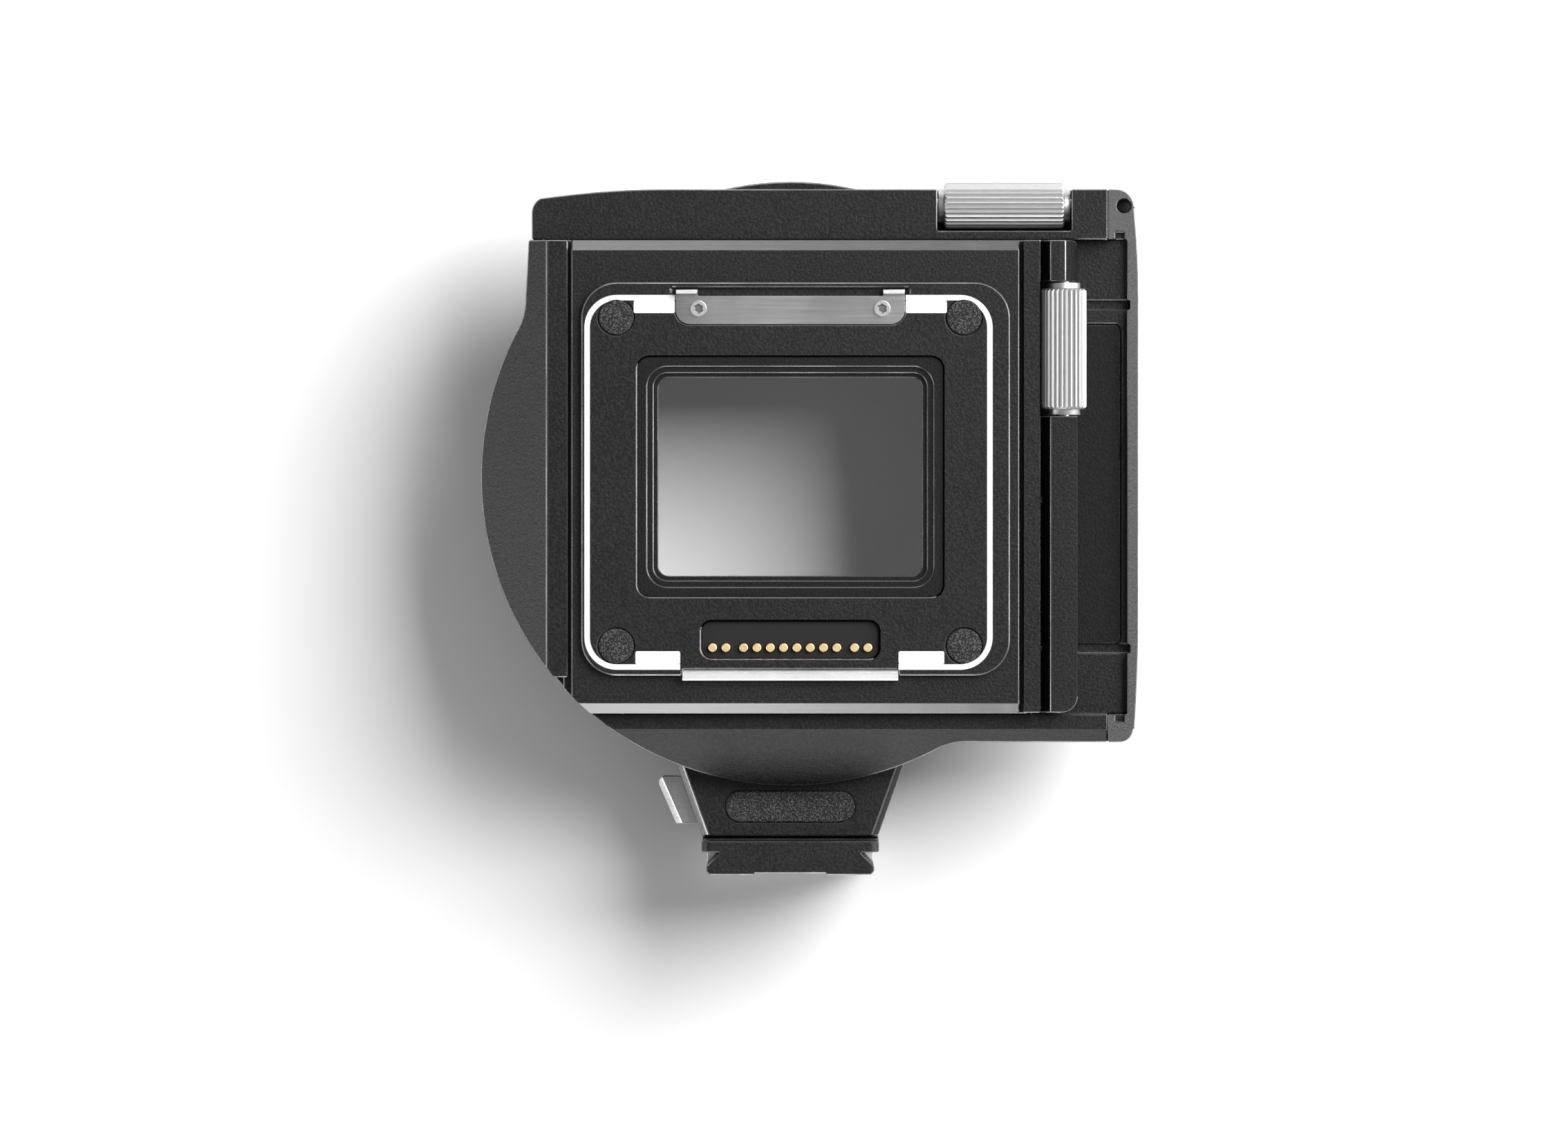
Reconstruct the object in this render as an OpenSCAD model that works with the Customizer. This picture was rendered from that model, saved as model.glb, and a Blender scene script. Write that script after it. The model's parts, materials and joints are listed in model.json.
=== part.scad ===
// Technical camera body for a medium format digital back, with cross shift, rise and fall, and a
// body that turns on its tripod foot. X is right as seen from the back, Y is forward along the
// lens axis, Z is up, in millimetres.
// The pieces are drawn about the lens axis with Y counted forward from the mount face. stand()
// then sets them on the foot, with the origin in the middle of its base.

/* [Slides] */
// Cross shift, rise and fall, each way from the centre
shift_travel = 12; // [6:0.5:12]
// Running gap between sliding faces
slide_gap = 0.2; // [0.1:0.05:0.35]
// Thickness of the cross slide
carriage_t = 5.6; // [5:0.1:7]
// Width of the window in the cross slide
carriage_window_w = 68; // [66:0.5:74]
// Width of the two guide keys under the cross slide
key_w = 1.9; // [1:0.1:2.4]
// Depth of the guide keys
key_t = 1.2; // [0.8:0.1:2]
// How far the guide keys lie inside the radius of the light throat
key_in = 3.1; // [2:0.1:5]
// Reach of the tongues along the cross slide's long edges
rail_reach = 1.8; // [1:0.1:2.2]

/* [Back plate] */
// Width of the rising back plate
plate_w = 100.9; // [99:0.1:101.4]
// Middle of the plate, right of the lens axis
plate_x = 1.15; // [0.6:0.05:1.6]
// Height of the plate
plate_h = 106.8; // [104:0.2:107]
// Thickness of the plate
plate_t = 6; // [5:0.1:8]
// Bevel along its top and bottom edges
plate_bevel = 2.3; // [1:0.1:3]
// Reach of the plate's side tongues
tongue_reach = 2; // [1:0.1:2.4]
// Thickness of the side tongues
tongue_t = 2.6; // [2:0.1:3]

/* [Mount face] */
// Width of the raised mount face
mount_w = 96.6; // [93:0.2:99]
// Height of the mount face
mount_h = 88.6; // [86:0.2:96]
// Corner radius of the mount face
mount_r = 8; // [4:0.5:12]
// Middle of the mount face, right of the lens axis
mount_x = 1.2; // [0.6:0.05:1.6]
// Middle of the mount face, below the lens axis
mount_drop = 0.5; // [0:0.1:1]
// How far the mount face stands proud of the plate
mount_t = 2; // [1.8:0.1:3]
// Width of the image gate
gate_w = 59.6; // [52:0.2:60]
// Height of the image gate
gate_h = 44.8; // [40:0.2:46]
// Corner radius of the image gate
gate_r = 2.4; // [1:0.1:4]
// Width of the inner lip round the gate
lip_in = 1.1; // [0.6:0.1:1.4]
// Width of the middle lip
lip_mid = 1.45; // [0.8:0.05:1.8]
// Width of the outer lip
lip_out = 2.15; // [1.2:0.05:2.6]
// Step between the lips
lip_step = 0.7; // [0.4:0.05:0.8]
// Wall of the gate frame inside the plate
gate_wall = 0.9; // [0.6:0.1:1.6]
// Radius of the round pads
pad_r = 4.1; // [3:0.1:4.4]
// Pads, left and right of the lens axis
pad_x = 39.2; // [38:0.1:41]
// Upper pads, above the lens axis
pad_up = 36; // [34:0.1:37]
// Lower pads, below the lens axis
pad_down = 38.1; // [36:0.1:38.6]
// Thickness of the pads
pad_t = 1.2; // [0.8:0.1:1.6]
// How far the pads stand proud
pad_proud = 0.25; // [0.1:0.05:0.6]

/* [Latch and contacts] */
// Width of the latch plate
latch_w = 51.6; // [46:0.2:56]
// Height of the latch plate
latch_h = 6.4; // [5:0.1:7]
// Top edge of the latch plate above the lens axis
latch_z = 40.8; // [40:0.1:41.2]
// Thickness of the latch plate
latch_t = 1; // [0.6:0.1:1.4]
// How far the latch plate stands proud
latch_proud = 0.3; // [0.1:0.05:0.6]
// Lower corner radius of the latch plate
latch_r = 3.2; // [1:0.1:4]
// Width of each hook
hook_w = 4.9; // [3:0.1:6]
// Height of each hook
hook_h = 1; // [0.8:0.1:1.2]
// How far the hooks stand back from the mount face
hook_reach = 1.6; // [1:0.1:3]
// Latch screws, left and right of the lens axis
latch_screw_x = 20.7; // [16:0.1:22]
// Thread of the latch screws
latch_screw_len = 6; // [4:0.5:6.5]
// Radius of the latch screw heads
latch_head_r = 1.83; // [1.4:0.02:2.2]
// Width of the ledge bar under the back
ledge_w = 48.6; // [40:0.2:56]
// Top of the ledge bar, below the lens axis
ledge_z = 43.5; // [43:0.1:44]
// Height of the ledge bar
ledge_h = 2.4; // [2:0.1:3]
// How far the ledge bar stands back from the mount face
ledge_reach = 1; // [0.6:0.1:2]
// Width of the contact well
well_w = 40.2; // [39:0.2:44]
// Height of the contact well
well_h = 8.5; // [8:0.1:9]
// Middle of the contact well, below the lens axis
well_z = 36.75; // [36.5:0.05:37]
// Corner radius of the contact well
well_r = 2.4; // [1:0.1:3]
// Radius of a contact pin
pin_r = 1; // [0.6:0.05:1.2]
// Pitch of the contact pins
pin_pitch = 3; // [2.6:0.1:3]
// Wider step to the outer two pins on each side
pin_step = 4; // [3:0.1:4.2]
// Row of pins, below the lens axis
pin_z = 38.5; // [37:0.1:39]
// Travel of the sprung pins
pin_travel = 0.8; // [0.4:0.1:0.8]

/* [Body] */
// Radius of the round body
disc_r = 70; // [69:0.2:74]
// Hollow blend from the round body into its straight sides
blend_r = 14; // [8:0.5:20]
// Left side, left of the lens axis
side_left = 59.75; // [58.8:0.05:62]
// How far the left wall leans in at its top
side_lean = 0.7; // [0.4:0.1:1.2]
// Right side, right of the lens axis
side_right = 78.8; // [78.4:0.1:84]
// Straight bottom edge, below the lens axis
side_down = 60; // [58.5:0.1:62]
// Corner radius of the right side
side_r = 4; // [2:0.2:5]
// Radius of the curve that draws in the right side towards its corners
side_curve = 213; // [180:1:400]
// Heights where that curve starts, above and below the lens axis
curve_up = 40; // [34:1:44]
curve_down = 30; // [26:1:36]
// Slope of the slanted rims, as depth over width
rim_slope = 0.7; // [0.5:0.05:0.74]
// Outer edge of the flat strip on the left
strip_out = 54.9; // [54:0.1:56]
// Outer edge of the flat strip at the bottom
strip_down = 57; // [56.6:0.1:58]
// How far the strips beside the plate lie forward of the mount face
strip_y = 2.4; // [1.8:0.1:3]
// Thickness of the front frame
floor_t = 8; // [7:0.1:10]
// Radius of the hub that the foot turns on
hub_r = 52; // [51:0.1:53]
// Wall of the hub round the light throat
hub_wall = 10; // [9:0.1:11]

/* [Top cover and grip] */
// Underside of the top cover, above the lens axis
top_low = 53.7; // [53.7:0.05:54]
// Top of the top cover
top_high = 65; // [64.8:0.1:66]
// Left end of the top cover
top_left = 58.4; // [57:0.1:59]
// Right end of the top cover, where the grip cover starts
top_right = 71.8; // [71:0.1:72]
// Radius of its left corner
top_r = 3.8; // [1:0.1:4]
// Where the top edge starts to fall, left of the lens axis
top_fall_x = 28; // [22:1:36]
// Radius of the falling top edge
top_fall_r = 197; // [150:1:400]
// Thread of the top cover screws in the frame
top_screw_in = 8; // [6:0.5:9]
// Depth of the seats under their heads
top_head_in = 4.5; // [4:0.1:5]
// Inner edge of the grip cover beside the thumb recess
recess_x = 76.2; // [76:0.1:76.8]
// Wall of the grip cover
grip_wall = 1.6; // [1:0.1:2]
// Radius of the finger swell, seen from above
swell_r = 24; // [22:0.5:26]
// Width of the finger swell, seen from the front
swell_w = 60; // [50:1:64]
// Middle of the finger swell, right of the lens axis
swell_x = 66; // [64:0.5:70]
// Forward reach of the finger swell
swell_y = 32; // [29:0.2:34]
// Radius of the strap eye
strap_r = 1.7; // [1.2:0.1:1.8]
// Strap eye, right of and above the lens axis
strap_x = 75.5; // [75:0.1:75.6]
strap_z = 61.3; // [60.4:0.1:61.4]
// Radius of the shutter button
button_r = 4.8; // [3:0.1:5.2]
// Shutter button, right of and above the lens axis
button_x = 68; // [66:0.1:69]
button_z = 43; // [40:0.1:46]
// Travel of the shutter button
button_travel = 1; // [0.4:0.1:1.2]
// Thickness of the cover in the thumb recess
panel_t = 1; // [0.6:0.1:1.4]
// Drop of the chip and rise of the plug on the board behind the cover in the thumb recess
chip_drop = 28; // [24:1:34]
plug_rise = 20; // [14:1:24]
// Gap round the cover in the thumb recess
panel_gap = 0.4; // [0.2:0.05:0.6]
// Right edge, top and bottom of the cover in the thumb recess
panel_x = 74.6; // [72:0.1:75.4]
panel_up = 34.3; // [30:0.1:36]
panel_down = 37.7; // [34:0.1:37.8]

/* [Drives] */
// Diameter of the knurled knobs
knob_d = 10.4; // [9:0.1:10.4]
// Length of the knurled part
knob_len = 27.3; // [24:0.1:27.6]
// Gap in the notch at each end of a knob
knob_gap = 1.55; // [1.4:0.05:2]
// Flutes round each knob
knob_flutes = 28; // [18:1:36]
// Depth of the flutes
flute_depth = 0.5; // [0.2:0.05:0.8]
// Chamfer at the knob ends
knob_chamfer = 0.6; // [0.3:0.1:1]
// Diameter of the lead screws
screw_d = 3; // [2.6:0.1:3.2]
// Outer radius of the bushes
bush_r = 2.4; // [2.3:0.1:2.8]
// Length of the bushes
bush_len = 3; // [2:0.1:4]
// Cross shift knob: middle, height and depth of its axis
x_knob_x = 48.4; // [48:0.05:48.8]
x_knob_z = 61.4; // [61.2:0.1:62]
x_knob_y = 13.9; // [13.9:0.05:14.6]
// Rise and fall knob: place, middle and depth of its axis
y_knob_x = 61.7; // [61.6:0.05:61.9]
y_knob_z = 28.9; // [27:0.1:30]
y_knob_y = 6.8; // [6.6:0.1:6.9]
// Right face of the screw housing
bar_right = 64.8; // [64.6:0.1:65]
// Left edge of its raised face
bar_face = 58.7; // [58.2:0.1:59]
// Left edge of the groove beside the raised face
bar_groove = 56.3; // [56:0.1:56.4]
// Depth of the raised face
bar_y = 2.6; // [2.4:0.1:3]
// Underside of the screw housing
bar_under = 11.2; // [10.8:0.1:11.3]
// Lower right corner radius of the screw housing
bar_r = 3.6; // [1:0.1:5]
// Width of the chamfer above the knob
bar_chamfer = 2.7; // [1.5:0.1:3]

/* [Lens mount] */
// Reach of the bayonet lugs into the light throat
lug_reach = 2; // [1.8:0.1:3]
// Relief behind the lugs, outside the throat
lug_relief = 1.5; // [1:0.1:2]
// How far the lens ring reaches past the hub
ring_over = 5; // [4.4:0.1:6]
// Thickness of the lens ring
ring_t = 3; // [2.8:0.1:4]
// Angle of each gap between the lugs
lug_gap = 26; // [20:1:28]
// Width of the lock ring round it
lock_w = 3.4; // [2.8:0.1:4]
// Height of the finger tabs on the lock ring
tab_h = 4; // [3:0.1:5]
// Width of the finger tabs
tab_w = 12; // [11:0.5:16]
// Lens ring screws, inside the edge of the hub
ring_screw_in = 3.8; // [3.4:0.1:4.4]
// Thread of the lens ring screws in the hub
ring_screw_len = 6; // [4:0.5:6.5]

/* [Collar and foot] */
// Width of the foot collar round the hub
collar_w = 15; // [13:0.1:15.4]
// Thickness of the foot collar
collar_t = 10.4; // [9:0.1:13]
// Running clearance of the collar on the hub
hub_fit = 0.05; // [0.02:0.01:0.1]
// From the rim of the collar down to the base of the foot
foot_drop = 23; // [22:0.1:27]
// Width of the arm where it meets the foot plate
arm_w = 40; // [36:0.2:42]
// Widening of the arm on each side, over height
arm_flare = 0.36; // [0.2:0.01:0.5]
// Depth of the arm, front to back
arm_t = 19; // [17:0.1:24]
// Bevel of the arm's slanted edges
arm_bevel = 1.4; // [0.6:0.1:2]
// Length of the oblong pad on the arm
bumper_w = 29.3; // [20:0.1:32]
// Height of the oblong pad
bumper_h = 7.1; // [4:0.1:7.6]
// Middle of the oblong pad, above the foot plate
bumper_z = 6.6; // [5:0.1:7]
// Width of the foot plate's flange
flange_w = 40.1; // [38.4:0.1:44]
// Thickness of the flange
flange_t = 3.4; // [2.8:0.1:5]
// Width of the dovetail at its base
tail_w = 38; // [37:0.1:39]
// Height of the dovetail's slope, at 45 degrees
tail_slope = 3.2; // [2.6:0.1:4]
// Height of the dovetail's straight land
tail_land = 1.9; // [1.2:0.1:3]
// Front end of the foot plate, forward of the mount face
foot_front = 50; // [46:0.2:60]
// Width of the relief under the foot
relief_w = 16.4; // [10:0.2:17]
// Depth of the relief
relief_t = 0.4; // [0.3:0.1:1]
// Radius of the tripod screw hole
tripod_r = 3.95; // [3:0.05:4.2]
// Depth of the tripod screw hole
tripod_depth = 11; // [9:0.5:13]
// Thickness of the end stop
stop_t = 1.6; // [1:0.1:3]
// Lock lever: tip left of the lens axis
lever_x = 30; // [27:0.1:33]
// Lock lever: height of its plate
lever_h = 10.9; // [9:0.1:11]
// Lock lever: thickness
lever_t = 4; // [3:0.1:5]
// Lock lever pivot, left of the lens axis and above the foot plate
pivot_x = 17; // [16:0.1:18]
pivot_z = 8.2; // [7.8:0.1:8.6]
// Radius of the pivot pin
pivot_r = 1.6; // [1:0.1:2]
// Radius of the brake shoe
shoe_r = 2.4; // [1.5:0.1:2.8]

/* [Hidden] */
$fn = 96;

// fits and margins
seat = 0.1;       // fit of a piece in its pocket
clear = 0.3;      // gap between bodies that pass each other
run = 0.05;       // running fit of a shaft in its bush
over = 1;         // how far a cut runs past a face
far = 200;        // larger than the whole camera

// circles about the lens axis
throat_r = hub_r - hub_wall;
lug_r = throat_r - lug_reach;
ring_in = throat_r + lug_relief;
ring_r = hub_r + ring_over;
ring_screw_r = hub_r - ring_screw_in;
collar_r = hub_r + collar_w;
axis_h = collar_r + foot_drop;

// depths, forward from the mount face
plate_y = mount_t;
plate_front = plate_y + plate_t;
slide_y = plate_front + slide_gap;
slide_front = slide_y + carriage_t;
floor_y = slide_front + slide_gap;
front_y = floor_y + floor_t;
rim_y = plate_front + 0.5;
collar_y = front_y + clear;
collar_front = collar_y + collar_t;
ring_y = collar_front + clear;
ring_front = ring_y + ring_t;
foot_rear = slide_y + clear;
arm_y = collar_y + 0.5;

// places
plate_left = plate_x - plate_w / 2;
plate_right = plate_x + plate_w / 2;
plate_z = plate_h / 2;
strip_in = -plate_left + 0.9;
bar_left = plate_right + 0.9;
bar_web = bar_left + tongue_reach + seat;
tongue_y = plate_front - tongue_t - seat;
slide_z = plate_z - slide_gap;
rail_y = slide_y + 1.9;
rail_t = 2.4;
key_z = throat_r - key_in;
key_start = sqrt(pow(throat_r, 2) - pow(key_z - key_w / 2, 2)) + shift_travel + 0.5;
key_end = plate_w / 2 - 4.45;
nut_w = 8;
x_nut_w = 10;
y_nut_z = -22;
y_nut_t = 2.6;
x_screw_end = x_nut_w / 2 + shift_travel + 15;
y_screw_end = slide_z - 3.2;
notch_w = knob_len + 2 * knob_gap;
notch_z = x_knob_z - knob_d / 2 - 0.6;
notch_left = x_knob_x - notch_w / 2;
notch_right = x_knob_x + notch_w / 2;
knob_up = y_knob_z + notch_w / 2;
knob_down = y_knob_z - notch_w / 2;
plate_top = -(axis_h - flange_t - tail_slope - tail_land);
foot_mid = (foot_rear + foot_front) / 2;
tail_waist = tail_w - 2 * tail_slope;
foot_screw_x = tail_waist / 2 - 4.8;
strap_y = front_y - 2.5;
board_x = (panel_x + bar_groove) / 2;
pin_xs = [for (k = [0:3]) pin_pitch * (k + 0.5), for (k = [0:1]) pin_pitch * (3.5 + k) + pin_step];
pin_y = 0.2;
block_y = 1.4;
block_t = 3.4;
lever_y = arm_y + 5.2;
pivot = [-pivot_x, plate_top + pivot_z];
boss_r = 4.6;     // round end of the lock lever
screw_sink = 0.9;
lip_t = 1.2;      // lip of the lens ring over its lock ring
lug_t = 3.2;      // thickness of the bayonet lugs

// Sets the camera on its foot, with the origin in the middle of the base
module stand() translate([0, -foot_mid, axis_h]) children();

// Extrudes an outline of X and Z from depth y0 to y1
module slab(y0, y1) translate([0, y1, 0]) rotate([90, 0, 0]) linear_extrude(y1 - y0) children();

// Extrudes an outline of Y and Z from x0 to x1
module beam(x0, x1) translate([x0, 0, 0]) rotate([90, 0, 90]) linear_extrude(x1 - x0) children();

// Extrudes an outline of X and Y from z0 to z1
module column(z0, z1) translate([0, 0, z0]) linear_extrude(z1 - z0) children();

module box(a, b) translate(a) cube(b - a);

module rod_y(r, y0, y1) translate([0, y0, 0]) rotate([-90, 0, 0]) cylinder(r = r, h = y1 - y0);

module ring_y(r_in, r_out, y0, y1) slab(y0, y1) difference() {
    circle(r_out);
    circle(r_in);
}

// Rectangle with round corners about its middle
module rounded(w, h, r) {
    square([w - 2 * r, h], center = true);
    square([w, h - 2 * r], center = true);
    for (x = [-1, 1], z = [-1, 1]) translate([x * (w / 2 - r), z * (h / 2 - r)]) circle(r);
}

// Chamfer cutter along a straight edge from p to q in X and Z, on the face at depth y
module bevel_cut(p, q, y, c) {
    run_len = norm(q - p) + 2 * c;
    translate([(p[0] + q[0]) / 2, y, (p[1] + q[1]) / 2])
        rotate([0, -atan2(q[1] - p[1], q[0] - p[0]), 0])
            rotate([45, 0, 0]) cube([run_len, c * sqrt(2), c * sqrt(2)], center = true);
}

// Pan head screw along +Y, its head's top at y
module screw_y(head_r, head_t, shank_r, length, y) {
    rod_y(head_r, y, y + head_t);
    rod_y(shank_r, y + head_t, y + head_t + length);
}

// Everything outside the round body in its lower left quarter
module lower_left_waste() difference() {
    translate([-far, -far]) square(far);
    circle(disc_r);
}

// Round body, its straight right and left sides and the hollow blends between them
module body_outline() {
    left_mid = side_left + blend_r;
    left_z = sqrt(pow(disc_r + blend_r, 2) - pow(left_mid, 2));
    down_mid = side_down + blend_r;
    down_x = sqrt(pow(disc_r + blend_r, 2) - pow(down_mid, 2));
    share = disc_r / (disc_r + blend_r);
    circle(disc_r);
    difference() {
        polygon([[0, 0], [-left_mid * share, left_z * share], [-side_left, left_z],
            [-side_left + side_lean, top_low], [0, top_low]]);
        translate([-left_mid, left_z]) circle(blend_r);
    }
    difference() {
        polygon([[0, 0], [down_x * share, -down_mid * share], [down_x, -side_down],
            [side_right - side_r - 2, -side_down], [side_right - side_r - 2, 0]]);
        translate([down_x, -down_mid]) circle(blend_r);
    }
    right_outline();
}

// Right side: straight in the middle, drawn in towards its round corners
module right_outline() {
    up = [side_right - side_r - 1.05, top_high - side_r];
    down = [side_right - side_r - 0.2, side_down - side_r + 1];
    difference() {
        intersection() {
            translate([throat_r, -side_down]) square([side_right - throat_r, side_down + top_high]);
            side_end(curve_up, side_curve);
            mirror([0, 1]) side_end(curve_down, 1.9 * side_curve);
        }
        corner_waste(up, side_r);
        mirror([0, 1]) corner_waste(down, side_r - 1);
    }
}

// Keeps what lies below z, and inside a wide curve above it
module side_end(z, r) {
    translate([0, -far]) square([far, far + z]);
    translate([side_right - r, z]) circle(r);
}

// Everything outside a round corner about the point p
module corner_waste(p, r) difference() {
    translate(p) square(far);
    translate(p) circle(r);
}

// Keeps an outline between the heights z0 and z1
module band(x0, x1, z0, z1) intersection() {
    children();
    translate([x0, z0]) square([x1 - x0, z1 - z0]);
}

// Wedge to the rear of a rim that slopes away from the edge at u, along X or Z
module rim_wedge(u, y) polygon([[u, y], [u + far, y + far * rim_slope], [u + far, -far], [u, -far]]);

module front_frame() color([0.13, 0.13, 0.14]) difference() {
    union() {
        slab(floor_y, front_y) band(-far, top_right - seat, -far, top_low) body_outline();
        box([throat_r, floor_y, -top_low + seat],
            [side_right - grip_wall - seat, front_y, top_low]);
        slab(rim_y, floor_y + over) band(-far, top_right - seat, -far, -top_low) body_outline();
        rod_y(hub_r, front_y - over, ring_y);
    }
    rod_y(throat_r, -far, far);
    mirror([0, 0, 1]) beam(-far, far) rotate(90) mirror([0, 1]) rim_wedge(strip_down, rim_y);
    box([-far, rail_y - slide_gap, -top_low - rail_reach - over / 2],
        [far, rail_y + rail_t + slide_gap, -top_low + over]);
    for (s = [-1, 1]) box([-far, floor_y - over, s * key_z - key_w / 2 - seat],
        [far, floor_y + key_t + clear, s * key_z + key_w / 2 + seat]);
    panel_cut(panel_gap, floor_y - over, floor_y + clear + panel_t);
    box([panel_x + panel_gap, floor_y - over, -far], [far, floor_y + 0.6, -key_z]);
    panel_cut(-2, floor_y, floor_y + clear + panel_t + 3);
    for (x = top_screw_xs()) top_screw_bore(x, 1.25);
    ring_screw_places() rod_y(0.85, ring_y - ring_screw_len - 1, ring_y + over);
    lower_left_relief();
}

// The frame's bottom wall ends on the round body at its lower left
module lower_left_relief() slab(rim_y - over, floor_y) lower_left_waste();

// Outline of the cover in the thumb recess, grown by a margin
module panel_cut(margin, y0, y1) slab(y0, y1)
    translate([board_x, (panel_up - panel_down) / 2])
        rounded(panel_x - bar_groove + 2 * margin, panel_up + panel_down + 2 * margin, 1.6);

module recess_panel() color([0.11, 0.11, 0.12])
    panel_cut(0, floor_y + clear, floor_y + clear + panel_t);

module circuit_board() color([0.05, 0.3, 0.15]) {
    board_y = floor_y + clear + panel_t;
    panel_cut(-2.5, board_y + 1.4, board_y + 3);
    translate([board_x, 0, panel_up - chip_drop]) box([-4, board_y + 0.3, -4], [4, board_y + 1.4, 4]);
    translate([board_x, 0, plug_rise - panel_down]) box([-5, board_y + 0.5, -3], [5, board_y + 1.4, 3]);
}

function top_screw_xs() = [12.4 - top_left, 32.4 - top_left, notch_left - bush_len - 3.2];
top_screw_y = front_y - 3.2;

module top_screw_bore(x, r) translate([x, top_screw_y, top_low - top_screw_in - 1])
    cylinder(r = r, h = far);

module top_screws() color([0.2, 0.2, 0.21]) for (x = top_screw_xs()) {
    translate([x, top_screw_y, top_low - top_screw_in])
        cylinder(r = 1.2, h = top_high - top_low + top_screw_in - top_head_in + 0.5);
    difference() {
        translate([x, top_screw_y, top_high - top_head_in]) cylinder(r = 2.2, h = 2);
        translate([x, top_screw_y, top_high - top_head_in + 0.8]) cylinder(r = 1.1, h = 2, $fn = 6);
    }
}

// Long top bar over the slides, with the notch for the cross shift knob
module top_cover() color([0.12, 0.12, 0.13]) difference() {
    slab(rim_y, front_y) top_outline();
    box([notch_left, rim_y - over, notch_z], [notch_right, x_knob_y + knob_d / 2 + 0.6, far]);
    box([-far, rail_y - slide_gap, top_low - over],
        [far, rail_y + rail_t + slide_gap, top_low + rail_reach + over / 2]);
    box([-x_nut_w / 2 - shift_travel - clear, rail_y, top_low - over],
        [x_nut_w / 2 + shift_travel + clear, x_knob_y + 2.6, x_knob_z + screw_d / 2 + 0.4]);
    x_axis(-x_screw_end - 2, notch_left + over) cylinder(r = screw_d / 2 + 0.3, h = far);
    for (x = bush_xs()) translate([x, 0, 0]) x_axis(0, bush_len) cylinder(r = bush_r, h = bush_len);
    x_axis(notch_right - over, notch_right + bush_len + 2)
        cylinder(r = screw_d / 2 + 0.3, h = bush_len + 3);
    for (x = top_screw_xs()) {
        top_screw_bore(x, 1.3);
        translate([x, top_screw_y, top_high - top_head_in]) cylinder(r = 2.4, h = far);
    }
}

module top_outline() {
    corner = [-top_left + top_r, fall_z(-top_left + top_r) - top_r + 0.2];
    difference() {
        intersection() {
            translate([-top_left, top_low])
                square([top_left + top_right - seat, top_high - top_low]);
            union() {
                translate([-top_fall_x, top_high - top_fall_r]) circle(top_fall_r, $fn = 400);
                translate([-top_fall_x, 0]) square(far);
            }
        }
        difference() {
            translate([-far, corner[1]]) square([far + corner[0], far]);
            translate(corner) circle(top_r);
        }
    }
}

function fall_z(x) = top_high - top_fall_r + sqrt(pow(top_fall_r, 2) - pow(x + top_fall_x, 2));

function bush_xs() = [notch_left - bush_len, notch_right];

// Sets a Z cylinder along X on the cross shift axis, from x0
module x_axis(x0, x1) translate([x0, x_knob_y, x_knob_z]) rotate([0, 90, 0])
    intersection() {
        children();
        cylinder(r = far, h = x1 - x0);
    }

module x_bushes() color([0.6, 0.45, 0.25]) for (x = bush_xs())
    translate([x, x_knob_y, x_knob_z]) rotate([0, 90, 0]) bush();

module bush() difference() {
    cylinder(r = bush_r, h = bush_len);
    translate([0, 0, -over]) cylinder(r = screw_d / 2 + run, h = bush_len + 2 * over);
}

// Fluted thumb wheel about Z, its middle at the origin
module knob() difference() {
    union() {
        intersection() {
            linear_extrude(knob_len, center = true) fluted();
            rotate_extrude() knob_profile();
        }
        cylinder(r = knob_hub_r(), h = notch_w - 2 * clear, center = true);
    }
    cylinder(r = screw_d / 2 + 0.01, h = notch_w + over, center = true);
}

function knob_hub_r() = knob_d / 2 - 1.4;

module fluted() difference() {
    circle(knob_d / 2);
    for (k = [0:knob_flutes - 1]) rotate(k * 360 / knob_flutes)
        translate([knob_d / 2 + 0.05, 0]) rotate(45) square(flute_depth * sqrt(2), center = true);
}

module knob_profile() polygon([
    [0, -knob_len / 2], [knob_d / 2 - knob_chamfer, -knob_len / 2],
    [knob_d / 2, -knob_len / 2 + knob_chamfer], [knob_d / 2, knob_len / 2 - knob_chamfer],
    [knob_d / 2 - knob_chamfer, knob_len / 2], [0, knob_len / 2]
]);

module x_knob() color([0.8, 0.8, 0.82])
    translate([x_knob_x, x_knob_y, x_knob_z]) rotate([0, 90, 0]) knob();

module x_lead_screw() color([0.6, 0.6, 0.62])
    translate([-x_screw_end, x_knob_y, x_knob_z]) rotate([0, 90, 0])
        cylinder(d = screw_d, h = x_screw_end + notch_right + bush_len + 0.5);

// Slanted cover of the right end, with a lip over the recess and a finger swell in front
module grip_cover() color([0.14, 0.14, 0.15]) difference() {
    union() {
        slab(rim_y, front_y) band(top_right, far, -far, far) right_outline();
        intersection() {
            slab(front_y, swell_y) swell_outline();
            translate([swell_x, swell_y - swell_r, -far]) cylinder(r = swell_r, h = 2 * far);
        }
    }
    column(-far, far) rim_wedge(top_right, rim_y);
    box([0, -over, -top_low], [recess_x, floor_y, top_low]);
    box([0, floor_y - seat, -top_low], [side_right - grip_wall, front_y, top_low]);
    for (s = [-1, 1]) translate([recess_x, 0, s * (top_low + 0.8)])
        box([-2.7, -over, -1], [-0.6, rail_y + rail_t + slide_gap, 1]);
    for (s = [-1, 1]) translate([recess_x, 0, s * key_z])
        box([-over, -over, -key_w / 2 - seat], [0.7, floor_y, key_w / 2 + seat]);
    translate([strap_x, 0, strap_z]) strap_eye();
    translate([button_x, 0, button_z]) {
        rod_y(button_r + 1.6, swell_y - 3, far);
        rod_y(button_r + 0.4, swell_y - 6.6, far);
    }
}

// Passage for a strap cord: in from the back and out at the right side
module strap_eye() {
    rod_y(strap_r, -far, strap_y);
    translate([0, strap_y - strap_r, 0]) rotate([0, 90, 0]) cylinder(r = strap_r - 0.2, h = far);
}

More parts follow.
